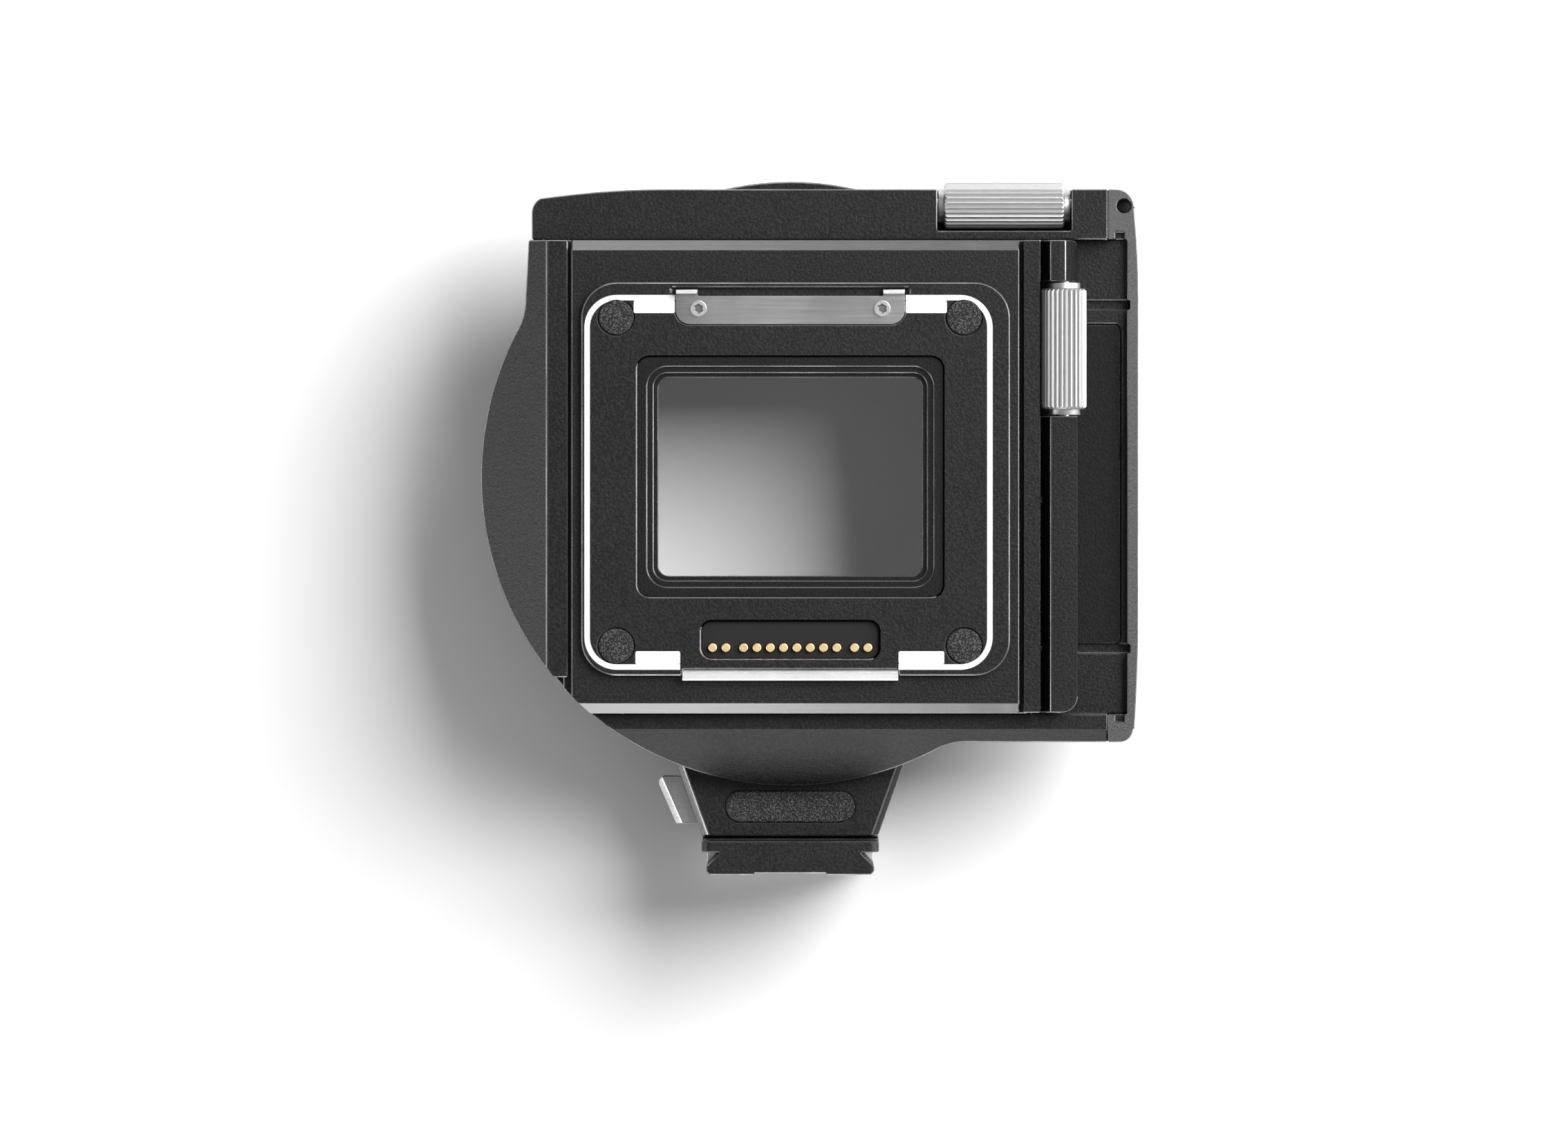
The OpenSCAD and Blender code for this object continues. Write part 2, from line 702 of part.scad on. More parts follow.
// Finger swell: the right side, kept clear of the collar, with its corners rounded
module swell_outline() difference() {
    intersection() {
        right_outline();
        translate([side_right - swell_w / 2, 1]) rounded(swell_w, 2 * (top_low - over), 8);
    }
    circle(collar_r + 1.5);
}

module shutter_bezel() color([0.3, 0.3, 0.31]) translate([button_x, 0, button_z])
    ring_y(button_r + 0.15, button_r + 1.5, swell_y - 3, swell_y + 0.4);

module shutter_button() color([0.5, 0.5, 0.52]) translate([button_x, 0, button_z]) {
    rod_y(button_r, swell_y - 2.2, swell_y + 0.9);
    rod_y(1.6, swell_y - 3.4, swell_y - 2.2);
}

module shutter_switch() color([0.1, 0.1, 0.1]) translate([button_x, 0, button_z])
    difference() {
        rod_y(button_r + 0.3, swell_y - 6.6, swell_y - 2.4 - button_travel);
        rod_y(button_r - 1, swell_y - 3 - button_travel - 0.8, swell_y);
    }

// Cross slide with the slanted left wall, its tongues run in the top cover and the front frame
module cross_slide() color([0.12, 0.12, 0.13]) difference() {
    union() {
        slab(slide_y, slide_front) difference() {
            translate([-strip_in - over, -slide_z])
                square([strip_in + over + bar_web, 2 * slide_z]);
            lower_left_waste();
        }
        slab(strip_y, slide_front) left_wall_outline();
        box([-strip_out - 1, rail_y, 0], [bar_web, rail_y + rail_t, top_low - clear + rail_reach]);
        box([-38, rail_y, -top_low + clear - rail_reach], [bar_web, rail_y + rail_t, 0]);
    }
    column(-far, far) mirror([1, 0]) rim_wedge(strip_out, strip_y);
    box([-strip_in - tongue_reach + 0.9 - seat, tongue_y - slide_gap, -far],
        [0, slide_y, far]);
    slab(0, far) rounded(carriage_window_w, carriage_window_h(), 6);
    box([bar_web - 9, slide_y - over, y_nut_z - nut_w / 2 - shift_travel - clear],
        [far, slide_y + y_nut_t + clear, y_nut_z + nut_w / 2 + shift_travel + clear]);
}

// Tall enough for the gate frame at full rise and fall
function carriage_window_h() = gate_h + 2 * (lip_in + gate_wall + shift_travel + over);

module left_wall_outline() band(-far, -strip_in, -45.2, top_low - clear) body_outline();

// Four keys that stay outside the light throat at every shift
module guide_keys() color([0.6, 0.45, 0.25]) for (s = [-1, 1], x = [-key_end, key_start])
    box([x, slide_front, s * key_z - key_w / 2],
        [x + key_end - key_start, slide_front + key_t, s * key_z + key_w / 2]);

// Half nut that the cross shift screw drives, on the cross slide's upper tongue
module x_nut() color([0.6, 0.45, 0.25]) difference() {
    foot_z = top_low - clear + rail_reach;
    union() {
        box([-x_nut_w / 2, rail_y + slide_gap, foot_z],
            [x_nut_w / 2, x_knob_y + 1, x_knob_z - screw_d / 2]);
        box([-x_nut_w / 2, x_knob_y - 2.4, x_knob_z - 3.4],
            [x_nut_w / 2, x_knob_y + 2.4, x_knob_z - 0.1]);
    }
    translate([-far, x_knob_y, x_knob_z]) rotate([0, 90, 0])
        cylinder(r = screw_d / 2 + 2 * run, h = 2 * far);
}

// Upright housing of the rise and fall screw, on the right edge of the cross slide
module y_screw_housing() color([0.13, 0.13, 0.14]) difference() {
    column(-slide_z, top_low - clear) polygon([
        [bar_left, strip_y], [bar_groove, strip_y], [bar_groove, bar_y + 3.4],
        [bar_face, bar_y], [bar_right, bar_y], [bar_right, bar_under],
        [bar_web, bar_under], [bar_web, tongue_y - slide_gap], [bar_left, tongue_y - slide_gap]
    ]);
    column(knob_up, far) polygon([[bar_right - bar_chamfer, bar_y], [bar_right + over, bar_y],
        [bar_right + over, bar_y + 2 * bar_chamfer], [bar_right, bar_y + 1.5 * bar_chamfer]]);
    box([bar_groove, 0, knob_down], [far, far, knob_up]);
    translate([y_knob_x, y_knob_y, -y_screw_end - 0.5])
        cylinder(d = screw_d + 0.6, h = 2 * y_screw_end + 1);
    for (z = y_bush_zs()) translate([y_knob_x, y_knob_y, z]) cylinder(r = bush_r, h = bush_len);
    y_nut_room();
    slab(0, far) difference() {
        translate([bar_right - bar_r, -slide_z - over]) square([bar_r + over, bar_r + over]);
        translate([bar_right - bar_r, -slide_z + bar_r]) circle(bar_r);
    }
    slab(0, far) corner_waste([bar_right - bar_r / 3, top_low - clear - bar_r / 3], bar_r / 3);
}

function y_bush_zs() = [knob_up, knob_down - bush_len];

// Room in the housing for the nut and its arm over the full travel
module y_nut_room() {
    z0 = y_nut_z - nut_w / 2 - shift_travel - clear;
    z1 = y_nut_z + nut_w / 2 + shift_travel + clear;
    box([0, plate_front - seat, z0], [y_knob_x, bar_under + over, z1]);
    box([y_knob_x - 2.4, y_knob_y - screw_d / 2 - clear, z0], [y_knob_x + 1.9, bar_under + over, z1]);
}

module y_bushes() color([0.6, 0.45, 0.25]) for (z = y_bush_zs())
    translate([y_knob_x, y_knob_y, z]) bush();

module y_knob() color([0.8, 0.8, 0.82]) translate([y_knob_x, y_knob_y, y_knob_z]) knob();

module y_lead_screw() color([0.6, 0.6, 0.62])
    translate([y_knob_x, y_knob_y, -y_screw_end]) cylinder(d = screw_d, h = 2 * y_screw_end);

// Half nut on an arm behind the back plate
module y_nut() color([0.6, 0.45, 0.25]) difference() {
    z0 = y_nut_z - nut_w / 2;
    z1 = y_nut_z + nut_w / 2;
    union() {
        box([plate_right - 5, plate_front, z0], [y_knob_x - 1.9, plate_front + y_nut_t, z1]);
        box([y_knob_x - 2, y_knob_y + 0.1, z0], [y_knob_x + 1.5, plate_front + y_nut_t, z1]);
    }
    translate([y_knob_x, y_knob_y, -far]) cylinder(d = screw_d + 4 * run, h = 2 * far);
}

// Rising plate that carries the digital back, with tongues in the strips on both sides
module back_plate() color([0.12, 0.12, 0.13]) difference() {
    union() {
        slab(plate_y, plate_front) plate_outline(0);
        slab(tongue_y, plate_front - seat) plate_outline(tongue_reach - seat);
    }
    for (s = [-1, 1]) bevel_cut([plate_left - 3, s * plate_z], [plate_right + 3, s * plate_z],
        plate_y, plate_bevel);
    slab(0, far) rounded(gate_body_w() + 2 * seat, gate_body_h() + 2 * seat, gate_r + lip_in);
    well_cut(0, block_y, block_y + block_t);
    for (s = [-1, 1]) translate([s * latch_screw_x, 0, latch_z - 2.9]) rod_y(1.05, 0, plate_front - 1);
}

module plate_outline(wider) difference() {
    translate([plate_left - wider, -plate_z]) square([plate_w + 2 * wider, plate_h]);
    lower_left_waste();
}

function gate_body_w() = gate_w + 2 * (lip_in + gate_wall);
function gate_body_h() = gate_h + 2 * (lip_in + gate_wall);

module lip_outline(grow, r) rounded(gate_w + 2 * grow, gate_h + 2 * grow, r);

module well_cut(margin, y0, y1) slab(y0, y1) translate([0, -well_z])
    rounded(well_w - 2 * margin, well_h - 2 * margin, well_r - margin);

// Raised face that the digital back seats on
module mount_face() color([0.14, 0.14, 0.15]) difference() {
    slab(0, mount_t) translate([mount_x, -mount_drop]) rounded(mount_w, mount_h, mount_r);
    slab(-over, far) lip_outline(lip_in + lip_mid + lip_out, 2.8);
    well_cut(0, -over, far);
    pad_places() rod_y(pad_r + seat, -over, pad_t - pad_proud);
    slab(-over, latch_t - latch_proud) latch_outline(seat);
    box([-latch_w / 2 - seat, -over, latch_z - over], [latch_w / 2 + seat, 1.6, latch_z + 1.9]);
    box([-latch_w / 2 - 1.1, -over, latch_z + 0.2], [latch_w / 2 + 1.1, 1.6, latch_z + 1.9]);
    for (s = [-1, 1]) translate([s * latch_screw_x, 0, latch_z - 2.9]) rod_y(1.05, -over, far);
    box([-ledge_w / 2 - seat, -over, -far], [ledge_w / 2 + seat, far, -ledge_z + seat]);
}

module pad_places() for (s = [-1, 1], z = [pad_up, -pad_down]) translate([s * pad_x, 0, z])
    children();

module mount_pads() color([0.25, 0.25, 0.26]) pad_places() rod_y(pad_r, -pad_proud, pad_t - pad_proud);

// Stepped frame round the image gate
module gate_frame() color([0.1, 0.1, 0.1]) difference() {
    union() {
        slab(lip_step, mount_t) lip_outline(lip_in + lip_mid + lip_out - seat, 2.7);
        slab(mount_t - seat, plate_front) rounded(gate_body_w(), gate_body_h(), gate_r + lip_in);
    }
    slab(0, 2 * lip_step) lip_outline(lip_in + lip_mid, 4.7);
    slab(0, 3.4 * lip_step) lip_outline(lip_in, 3.2);
    slab(0, far) lip_outline(0, gate_r);
}

module latch_outline(margin) difference() {
    translate([-latch_w / 2 - margin, latch_z - latch_h - margin])
        square([latch_w + 2 * margin, latch_h + margin]);
    for (s = [-1, 1]) difference() {
        translate([s * (latch_w / 2 + margin) - latch_r, latch_z - latch_h - margin - latch_r])
            square(2 * latch_r);
        translate([s * (latch_w / 2 + margin - latch_r), latch_z - latch_h - margin + latch_r])
            circle(latch_r);
    }
}

// Steel plate with two hooks that hold the top of the digital back
module latch_plate() color([0.7, 0.7, 0.72]) difference() {
    union() {
        slab(-latch_proud, latch_t - latch_proud) latch_outline(0);
        for (s = [-1, 1]) mirror([s < 0 ? 1 : 0, 0, 0]) {
            box([latch_w / 2 - hook_w, -latch_proud, latch_z - over],
                [latch_w / 2, latch_t - latch_proud, latch_z + 0.4 + hook_h]);
            box([latch_w / 2 - hook_w, -hook_reach, latch_z + 0.4],
                [latch_w / 2, latch_t - latch_proud, latch_z + 0.4 + hook_h]);
        }
    }
    for (s = [-1, 1]) translate([s * latch_screw_x, 0, latch_z - 2.9]) rod_y(1.05, -far, far);
}

module latch_screws() color([0.45, 0.45, 0.47]) for (s = [-1, 1])
    translate([s * latch_screw_x, 0, latch_z - 2.9]) difference() {
        screw_y(latch_head_r, 0.6, 1, latch_screw_len, -latch_proud - 0.6);
        rod_y(1, -far, -latch_proud - 0.2, $fn = 6);
    }

// Grooved steel bar that the bottom of the digital back hangs on
module ledge_bar() color([0.75, 0.75, 0.77]) beam(-ledge_w / 2, ledge_w / 2) polygon([
    [plate_y, -ledge_z], [0.2, -ledge_z], [-0.4, -ledge_z - 0.35], [0.1, -ledge_z - 0.7],
    [-ledge_reach, -ledge_z - 0.95], [-ledge_reach, -ledge_z - ledge_h + 0.4],
    [-ledge_reach + 0.4, -ledge_z - ledge_h], [plate_y, -ledge_z - ledge_h]
]);

module contact_places() for (s = [-1, 1], x = pin_xs) translate([s * x, 0, -pin_z]) children();

module contact_block() color([0.06, 0.06, 0.06]) difference() {
    well_cut(seat, block_y, block_y + block_t);
    contact_places() rod_y(pin_r + seat, 0, block_y + block_t - 0.8);
}

module contact_pins() color([0.85, 0.7, 0.4]) contact_places() {
    rod_y(pin_r, pin_y + 0.15, block_y + block_t - 0.8 - pin_travel - seat);
    translate([0, pin_y + 0.15, 0]) rotate([90, 0, 0]) cylinder(r1 = pin_r, r2 = pin_r - 0.15, h = 0.15);
}

// Lens seat with three bayonet lugs, and a lip that keeps the lock ring on
module lens_ring() color([0.7, 0.7, 0.72]) difference() {
    union() {
        ring_y(ring_in, ring_r, ring_y, ring_front + lip_t);
        ring_y(ring_r - over, ring_r + 1.4, ring_front + lip_t - 0.9, ring_front + lip_t);
        slab(ring_front + lip_t - lug_t, ring_front + lip_t) lug_outline();
    }
    ring_screw_places() {
        rod_y(1, 0, far);
        rod_y(1.9, ring_front + lip_t - screw_sink, far);
    }
}

// Three lugs with gaps between them, their roots inside the ring
module lug_outline() difference() {
    circle(ring_in + over);
    circle(lug_r);
    for (k = [0:2]) rotate(k * 120 + 60) polygon([
        [0, 0], [-far * tan(lug_gap / 2), far], [far * tan(lug_gap / 2), far]
    ]);
}

module ring_screw_places() for (k = [0:5]) rotate([0, k * 60, 0]) translate([0, 0, ring_screw_r])
    children();

module lens_ring_screws() color([0.5, 0.5, 0.52]) ring_screw_places() {
    rod_y(1.8, ring_front + lip_t - screw_sink, ring_front + lip_t - 0.1);
    rod_y(0.8, ring_y - ring_screw_len, ring_front + lip_t - screw_sink);
}

// Ring that turns to lock the lens, with two ribbed finger tabs
module lens_lock_ring() color([0.16, 0.16, 0.17]) {
    lock_r = ring_r + run + lock_w;
    ring_y(ring_r + run, lock_r, ring_y + slide_gap, ring_front);
    for (a = [-70, 110]) rotate([0, a, 0]) difference() {
        slab(ring_y + slide_gap, ring_front + 2) intersection() {
            difference() {
                circle(lock_r + tab_h);
                circle(lock_r - over);
            }
            translate([-tab_w / 2, 0]) square([tab_w, far]);
        }
        rod_y(lock_r + 0.3, ring_front, far);
        for (k = [-2:2]) translate([2.2 * k, 0, lock_r + tab_h]) rotate([0, 45, 0])
            box([-0.5, 0, -0.5], [0.5, far, 0.5]);
    }
}

module collar_washer() color([0.8, 0.8, 0.78]) ring_y(hub_r + clear, collar_r - 3, front_y,
    collar_y - seat);

// Half width of the arm at height z
function arm_half(z) = arm_w / 2 + arm_flare * (z - plate_top);

// Collar that turns on the hub
module foot_collar() color([0.13, 0.13, 0.14]) difference() {
    ring_y(hub_r + hub_fit, collar_r, collar_y, collar_front);
    shoe_bore();
    foot_screw_bores(1.25);
}

// Arm under the collar, with the slot for the lock lever
module foot_arm() color([0.13, 0.13, 0.14]) {
    top_z = -hub_r - 2;
    low_right = [arm_half(plate_top), plate_top];
    high_right = [arm_half(top_z), top_z];
    flip = [[-1, 0], [0, 1]];
    difference() {
        union() {
            slab(arm_y, collar_front) polygon([low_right, high_right, flip * high_right,
                flip * low_right]);
            slab(collar_front - over, arm_y + arm_t) band(-far, far, -far, -ring_r - lock_w - tab_h - 2)
                polygon([low_right, high_right, flip * high_right, flip * low_right]);
        }
        rod_y(collar_r + seat, 0, collar_front + seat);
        for (p = [[low_right, high_right], [flip * low_right, flip * high_right]])
            bevel_cut(p[0], p[1], arm_y, arm_bevel);
        slab(0, arm_y + pad_t - 0.5) translate([0, plate_top + bumper_z])
            rounded(bumper_w + 2 * seat, bumper_h + 2 * seat, bumper_h / 2 - seat);
        box([-far, lever_y - slide_gap, plate_top + 0.8],
            [-pivot_x + 5.6, lever_y + lever_t + slide_gap, plate_top + 17]);
        foot_screw_bores(1.25);
        translate([0, foot_mid, -axis_h]) cylinder(r = tripod_r, h = tripod_depth);
        shoe_bore();
        translate([pivot[0], 0, pivot[1]])
            rod_y(pivot_r + 0.01, lever_y - 2.5, lever_y + lever_t + 2.5);
    }
}

module shoe_bore() shoe_axis() cylinder(r = shoe_r + run, h = norm(pivot) - boss_r);

lever_low = pivot[1] - 5.6;

module lever_blade() polygon([[-pivot_x - 4, lever_low], [-lever_x + 4, lever_low],
    [-lever_x, lever_low + lever_h - 1.8], [-lever_x + 0.2, lever_low + lever_h - 0.8],
    [-lever_x + 0.8, lever_low + lever_h - 0.15], [-lever_x + 1.5, lever_low + lever_h],
    [-pivot_x - 4, lever_low + lever_h], [-pivot_x + 1, pivot[1] + 3], [-pivot_x + 1, pivot[1] - 3]]);

// Silver lever that lets the body turn on the foot
module lock_lever() color([0.75, 0.75, 0.77]) difference() {
    union() {
        slab(lever_y, lever_y + lever_t) lever_blade();
        translate([pivot[0], 0, pivot[1]]) rod_y(boss_r, lever_y, lever_y + lever_t);
    }
    translate([pivot[0], 0, pivot[1]]) rod_y(pivot_r + run, 0, far);
    bevel_cut([-lever_x + 4, lever_low], [-lever_x, lever_low + lever_h - 1.8], lever_y, 1.4);
}

module lever_pin() color([0.6, 0.6, 0.62]) translate([pivot[0], 0, pivot[1]])
    rod_y(pivot_r, lever_y - 2.5, lever_y + lever_t + 2.5);

// Points a Z cylinder from the lens axis towards the lever's pivot
module shoe_axis() translate([0, lever_y + lever_t / 2, 0])
    rotate([0, 180 + atan2(pivot_x, -pivot[1]), 0]) children();

// Bronze shoe that the lever presses on the hub
module brake_shoe() color([0.6, 0.45, 0.25]) intersection() {
    shoe_axis() difference() {
        cylinder(r = shoe_r, h = norm(pivot) - boss_r - clear);
        translate([0, 0, -over]) cylinder(r = far, h = over + hub_r - 6);
    }
    ring_y(hub_r + 2 * hub_fit, far, 0, far);
}

function foot_screw_spots() = [for (s = [-1, 1], y = [arm_y + 3.6, arm_y + arm_t - 4])
    [s * foot_screw_x, y, -axis_h]];

// The rear two screws reach into the collar, the front two end in the arm
function screw_run(y) = y < collar_front ? foot_drop + 7 : axis_h + plate_top + 8;

module foot_screw_bores(r) for (p = foot_screw_spots())
    translate(p) cylinder(r = r, h = screw_run(p[1]));

// Dovetail foot plate for a quick release clamp
module foot_plate() color([0.14, 0.14, 0.15]) difference() {
    slab(foot_rear, foot_front) tail_outline();
    box([-far, 0, -(disc_r + shift_travel + 0.4)], [far, arm_y + 1.2, far]);
    translate([0, foot_mid, -axis_h - over]) cylinder(r = tripod_r, h = far);
    for (p = foot_screw_spots()) translate(p) {
        translate([0, 0, -over]) cylinder(r = 1.6, h = far);
        translate([0, 0, -over]) cylinder(r = 2.9, h = over + 3.2);
    }
    for (s = [-1, 1]) translate([s * (flange_w / 2 - 2), foot_rear + 2, 0]) difference() {
        box([s < 0 ? -3 : 0, -3, -far], [s < 0 ? 0 : 3, 0, far]);
        translate([0, 0, -far]) cylinder(r = 2, h = 2 * far);
    }
}

// Half of the dovetail section, then the whole
function tail_half() = [
    [relief_w / 2, -axis_h + relief_t], [relief_w / 2, -axis_h], [tail_w / 2 - 0.8, -axis_h],
    [tail_w / 2, -axis_h + 0.8], [tail_w / 2, -axis_h + tail_land],
    [tail_waist / 2, plate_top - flange_t], [flange_w / 2, plate_top - flange_t],
    [flange_w / 2, plate_top]
];

module tail_outline() {
    half = tail_half();
    last = len(half) - 1;
    polygon(concat(half, [for (k = [0:last]) [-half[last - k][0], half[last - k][1]]]));
}

// Steel plate on the front end that stops the foot in its clamp
module foot_stop() color([0.75, 0.75, 0.77]) slab(foot_front, foot_front + stop_t)
    translate([0, -axis_h + 0.6 + 3.6]) rounded(tail_w, 7.2, 1);

module foot_screws() color([0.45, 0.45, 0.47]) for (p = foot_screw_spots()) translate(p)
    difference() {
        union() {
            translate([0, 0, 0.4]) cylinder(r = 2.7, h = 2.8);
            translate([0, 0, 3.2]) cylinder(r = 1.2, h = screw_run(p[1]) - 3.8);
        }
        cylinder(r = 1.4, h = 1.9, $fn = 6);
    }

// Oblong rubber pad on the arm
module foot_pad() color([0.2, 0.2, 0.21]) slab(arm_y - 0.5, arm_y + pad_t - 0.5)
    translate([0, plate_top + bumper_z]) rounded(bumper_w, bumper_h, bumper_h / 2 - seat);

stand() front_frame();
stand() top_cover();
stand() grip_cover();
stand() recess_panel();
stand() circuit_board();
stand() top_screws();
stand() x_bushes();
stand() x_knob();
stand() x_lead_screw();
stand() lens_ring();
stand() lens_ring_screws();
stand() lens_lock_ring();
stand() collar_washer();
stand() shutter_button();
stand() shutter_bezel();
stand() shutter_switch();
stand() cross_slide();
stand() guide_keys();
stand() x_nut();
stand() y_screw_housing();
stand() y_bushes();
stand() y_knob();
stand() y_lead_screw();
stand() back_plate();
stand() mount_face();
stand() gate_frame();
stand() mount_pads();
stand() latch_plate();
stand() latch_screws();
stand() ledge_bar();
stand() contact_block();
stand() contact_pins();
stand() y_nut();
stand() foot_collar();
stand() foot_arm();
stand() foot_plate();
stand() foot_stop();
stand() foot_screws();
stand() foot_pad();
stand() lock_lever();
stand() lever_pin();
stand() brake_shoe();
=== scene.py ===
import json
import math
import bpy
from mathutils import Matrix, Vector
from mathutils.bvhtree import BVHTree

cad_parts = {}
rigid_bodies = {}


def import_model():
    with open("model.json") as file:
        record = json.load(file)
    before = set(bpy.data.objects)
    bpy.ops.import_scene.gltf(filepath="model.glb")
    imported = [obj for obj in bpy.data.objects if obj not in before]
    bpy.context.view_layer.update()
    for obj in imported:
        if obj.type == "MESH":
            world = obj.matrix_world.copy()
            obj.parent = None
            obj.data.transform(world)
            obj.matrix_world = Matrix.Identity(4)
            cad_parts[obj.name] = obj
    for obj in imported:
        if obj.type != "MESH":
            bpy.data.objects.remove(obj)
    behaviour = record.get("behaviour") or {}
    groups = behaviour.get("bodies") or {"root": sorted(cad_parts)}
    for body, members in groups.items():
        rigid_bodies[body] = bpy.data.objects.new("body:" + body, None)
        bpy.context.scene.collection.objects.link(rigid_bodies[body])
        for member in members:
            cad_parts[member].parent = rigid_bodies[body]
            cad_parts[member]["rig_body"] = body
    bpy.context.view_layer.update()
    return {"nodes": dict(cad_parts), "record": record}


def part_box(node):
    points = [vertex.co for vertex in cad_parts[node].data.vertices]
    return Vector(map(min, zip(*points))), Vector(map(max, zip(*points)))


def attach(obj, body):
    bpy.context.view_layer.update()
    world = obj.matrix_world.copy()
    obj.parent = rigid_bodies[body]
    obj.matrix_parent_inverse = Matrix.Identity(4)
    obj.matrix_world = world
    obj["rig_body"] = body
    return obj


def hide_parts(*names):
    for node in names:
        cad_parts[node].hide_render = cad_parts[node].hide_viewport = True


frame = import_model()
print("frame loaded:", len(frame["nodes"]), "nodes")

mm = 0.001
axisHeight = 90                              # mm from the foot's base up to the light path
mountDepth = -29.25                          # mm along Y to the face that the digital back seats on
lensAxis = Vector((0, 0, axisHeight)) * mm   # the light path runs along Y through here
mountPlane = mountDepth * mm
facingBack = (math.pi / 2, 0, 0)             # turns a flat or upright primitive to face along Y
slotOf = {row["node"]: row["material_slot"] for row in frame["record"]["subparts"]}


# shader sockets as numbers
class Wire:
    def __init__(self, tree, socket=None):
        self.tree = tree
        self.socket = socket

    def node(self, kind, settings=None, values=None, out=0):
        made = self.tree.nodes.new(kind)
        for key, value in (settings or {}).items():
            setattr(made, key, value)
        for key, value in (values or {}).items():
            if isinstance(value, Wire):
                self.tree.links.new(value.socket, made.inputs[key])
            else:
                made.inputs[key].default_value = value
        return Wire(self.tree, made.outputs[out])

    def math(self, operation, first, second):
        return self.node("ShaderNodeMath", {"operation": operation}, {0: first, 1: second})

    def __add__(self, other):
        return self.math("ADD", self, other)

    def __radd__(self, other):
        return self.math("ADD", other, self)

    def __sub__(self, other):
        return self.math("SUBTRACT", self, other)

    def __mul__(self, other):
        return self.math("MULTIPLY", self, other)

    def __rmul__(self, other):
        return self.math("MULTIPLY", other, self)

    def most(self, other):
        return self.math("MAXIMUM", self, other)

    def smooth(self, low, high):
        return self.node("ShaderNodeMapRange", {"interpolation_type": "SMOOTHSTEP"},
                         {"Value": self, "From Min": low, "From Max": high})

    def noise(self, scale, detail=2.0, rough=0.55, stretch=None):
        place = self
        if stretch:
            place = self.node("ShaderNodeMapping", None, {"Vector": self, "Scale": stretch})
        return self.node("ShaderNodeTexNoise", None,
                         {"Vector": place, "Scale": scale, "Detail": detail, "Roughness": rough})

    def blend(self, first, second):
        return self.node("ShaderNodeMix", {"data_type": "RGBA"},
                         {"Factor": self, 6: first, 7: second}, 2)


# the kinds of ray that reach a surface or the room
def rayKinds(tree):
    outputs = Wire(tree).node("ShaderNodeLightPath").socket.node.outputs
    kinds = ("Camera", "Glossy", "Transmission", "Shadow")
    return {kind: Wire(tree, outputs["Is %s Ray" % kind]) for kind in kinds}


def newFinish(name):
    finish = bpy.data.materials.new(name)
    finish.use_nodes = True
    tree = finish.node_tree
    shader = tree.nodes["Principled BSDF"]
    place = Wire(tree).node("ShaderNodeTexCoord", None, None, "Object")
    return finish, shader, place


# bump is the strength of the relief and depth its height in mm
def setFinish(shader, linked, fixed, height=None, bump=0.1, depth=0.05):
    for key, value in linked.items():
        value.tree.links.new(value.socket, shader.inputs[key])
    for key, value in fixed.items():
        shader.inputs[key].default_value = value
    if height:
        relief = {"Strength": bump, "Distance": depth * mm, "Height": height}
        bumped = height.node("ShaderNodeBump", None, relief)
        height.tree.links.new(bumped.socket, shader.inputs["Normal"])


def grey(level, warm=0.0):
    return (level * (1 + warm), level, level * (1 - warm), 1)


# blasted and anodised alloy: fine matte grain, faint cloudiness and a few handling marks
def alloyFinish(name, tone, spread, gloss, shine):
    finish, shader, place = newFinish(name)
    grain = place.noise(1650, 2.0, 0.6)
    pits = place.noise(4200, 1.0, 0.5)
    cloud = place.noise(45, 3.0, 0.6)
    rub = place.noise(18, 5.0, 0.7, (1, 6, 1)).smooth(0.58, 0.75)
    colour = grain.smooth(0.34, 0.72).blend(grey(tone - spread), grey(tone + spread, 0.01))
    rough = gloss + 0.10 * (cloud - 0.5) + 0.14 * (pits - 0.5) - 0.05 * rub
    setFinish(shader, {"Base Color": colour, "Roughness": rough},
              {"Specular IOR Level": shine, "Metallic": 0.0}, grain + 0.5 * pits, 1.0, 0.09)
    return finish


# edges where the anodising is thinner and takes more light
def edgeFinish(name, tone, gloss):
    finish, shader, place = newFinish(name)
    wear = place.noise(120, 3.0, 0.6).smooth(0.36, 0.70)
    fine = place.noise(1900, 2.0, 0.6)
    colour = (0.15 + 0.5 * wear + 0.15 * fine).blend(grey(tone), grey(tone * 2.4, 0.012))
    rough = gloss + 0.05 * (fine - 0.5)
    metal = 0.70 + 0.25 * wear
    setFinish(shader, {"Base Color": colour, "Roughness": rough, "Metallic": metal},
              {"Specular IOR Level": 0.5})
    return finish


# turned and clear anodised alloy, with cutting rings across one axis
def turnedFinish(name, tone, rings):
    finish, shader, place = newFinish(name)
    lathe = place.noise(1.0, 2.0, 0.6, rings)
    haze = place.noise(900, 3.0, 0.6)
    colour = haze.blend(grey(tone * 0.92), grey(tone * 1.05))
    rough = 0.46 + 0.08 * (lathe - 0.5) + 0.10 * (haze - 0.5)
    setFinish(shader, {"Base Color": colour, "Roughness": rough}, {"Metallic": 1.0}, haze, 0.12, 0.02)
    return finish


# steel with a brushed lay and a few darker patches
def brushedFinish(name, tone, lay, gloss, patch, spots=120):
    finish, shader, place = newFinish(name)
    lines = place.noise(1.0, 4.0, 0.7, lay)
    smear = place.noise(spots, 3.0, 0.6, (1, 1, 0.4))
    colour = (0.7 * lines + patch * (smear - 0.5)).blend(grey(tone * 0.72), grey(tone * 1.15))
    rough = gloss + 0.22 * (lines - 0.5) + 0.08 * (smear - 0.5)
    setFinish(shader, {"Base Color": colour, "Roughness": rough}, {"Metallic": 1.0}, lines, 0.12, 0.02)
    return finish


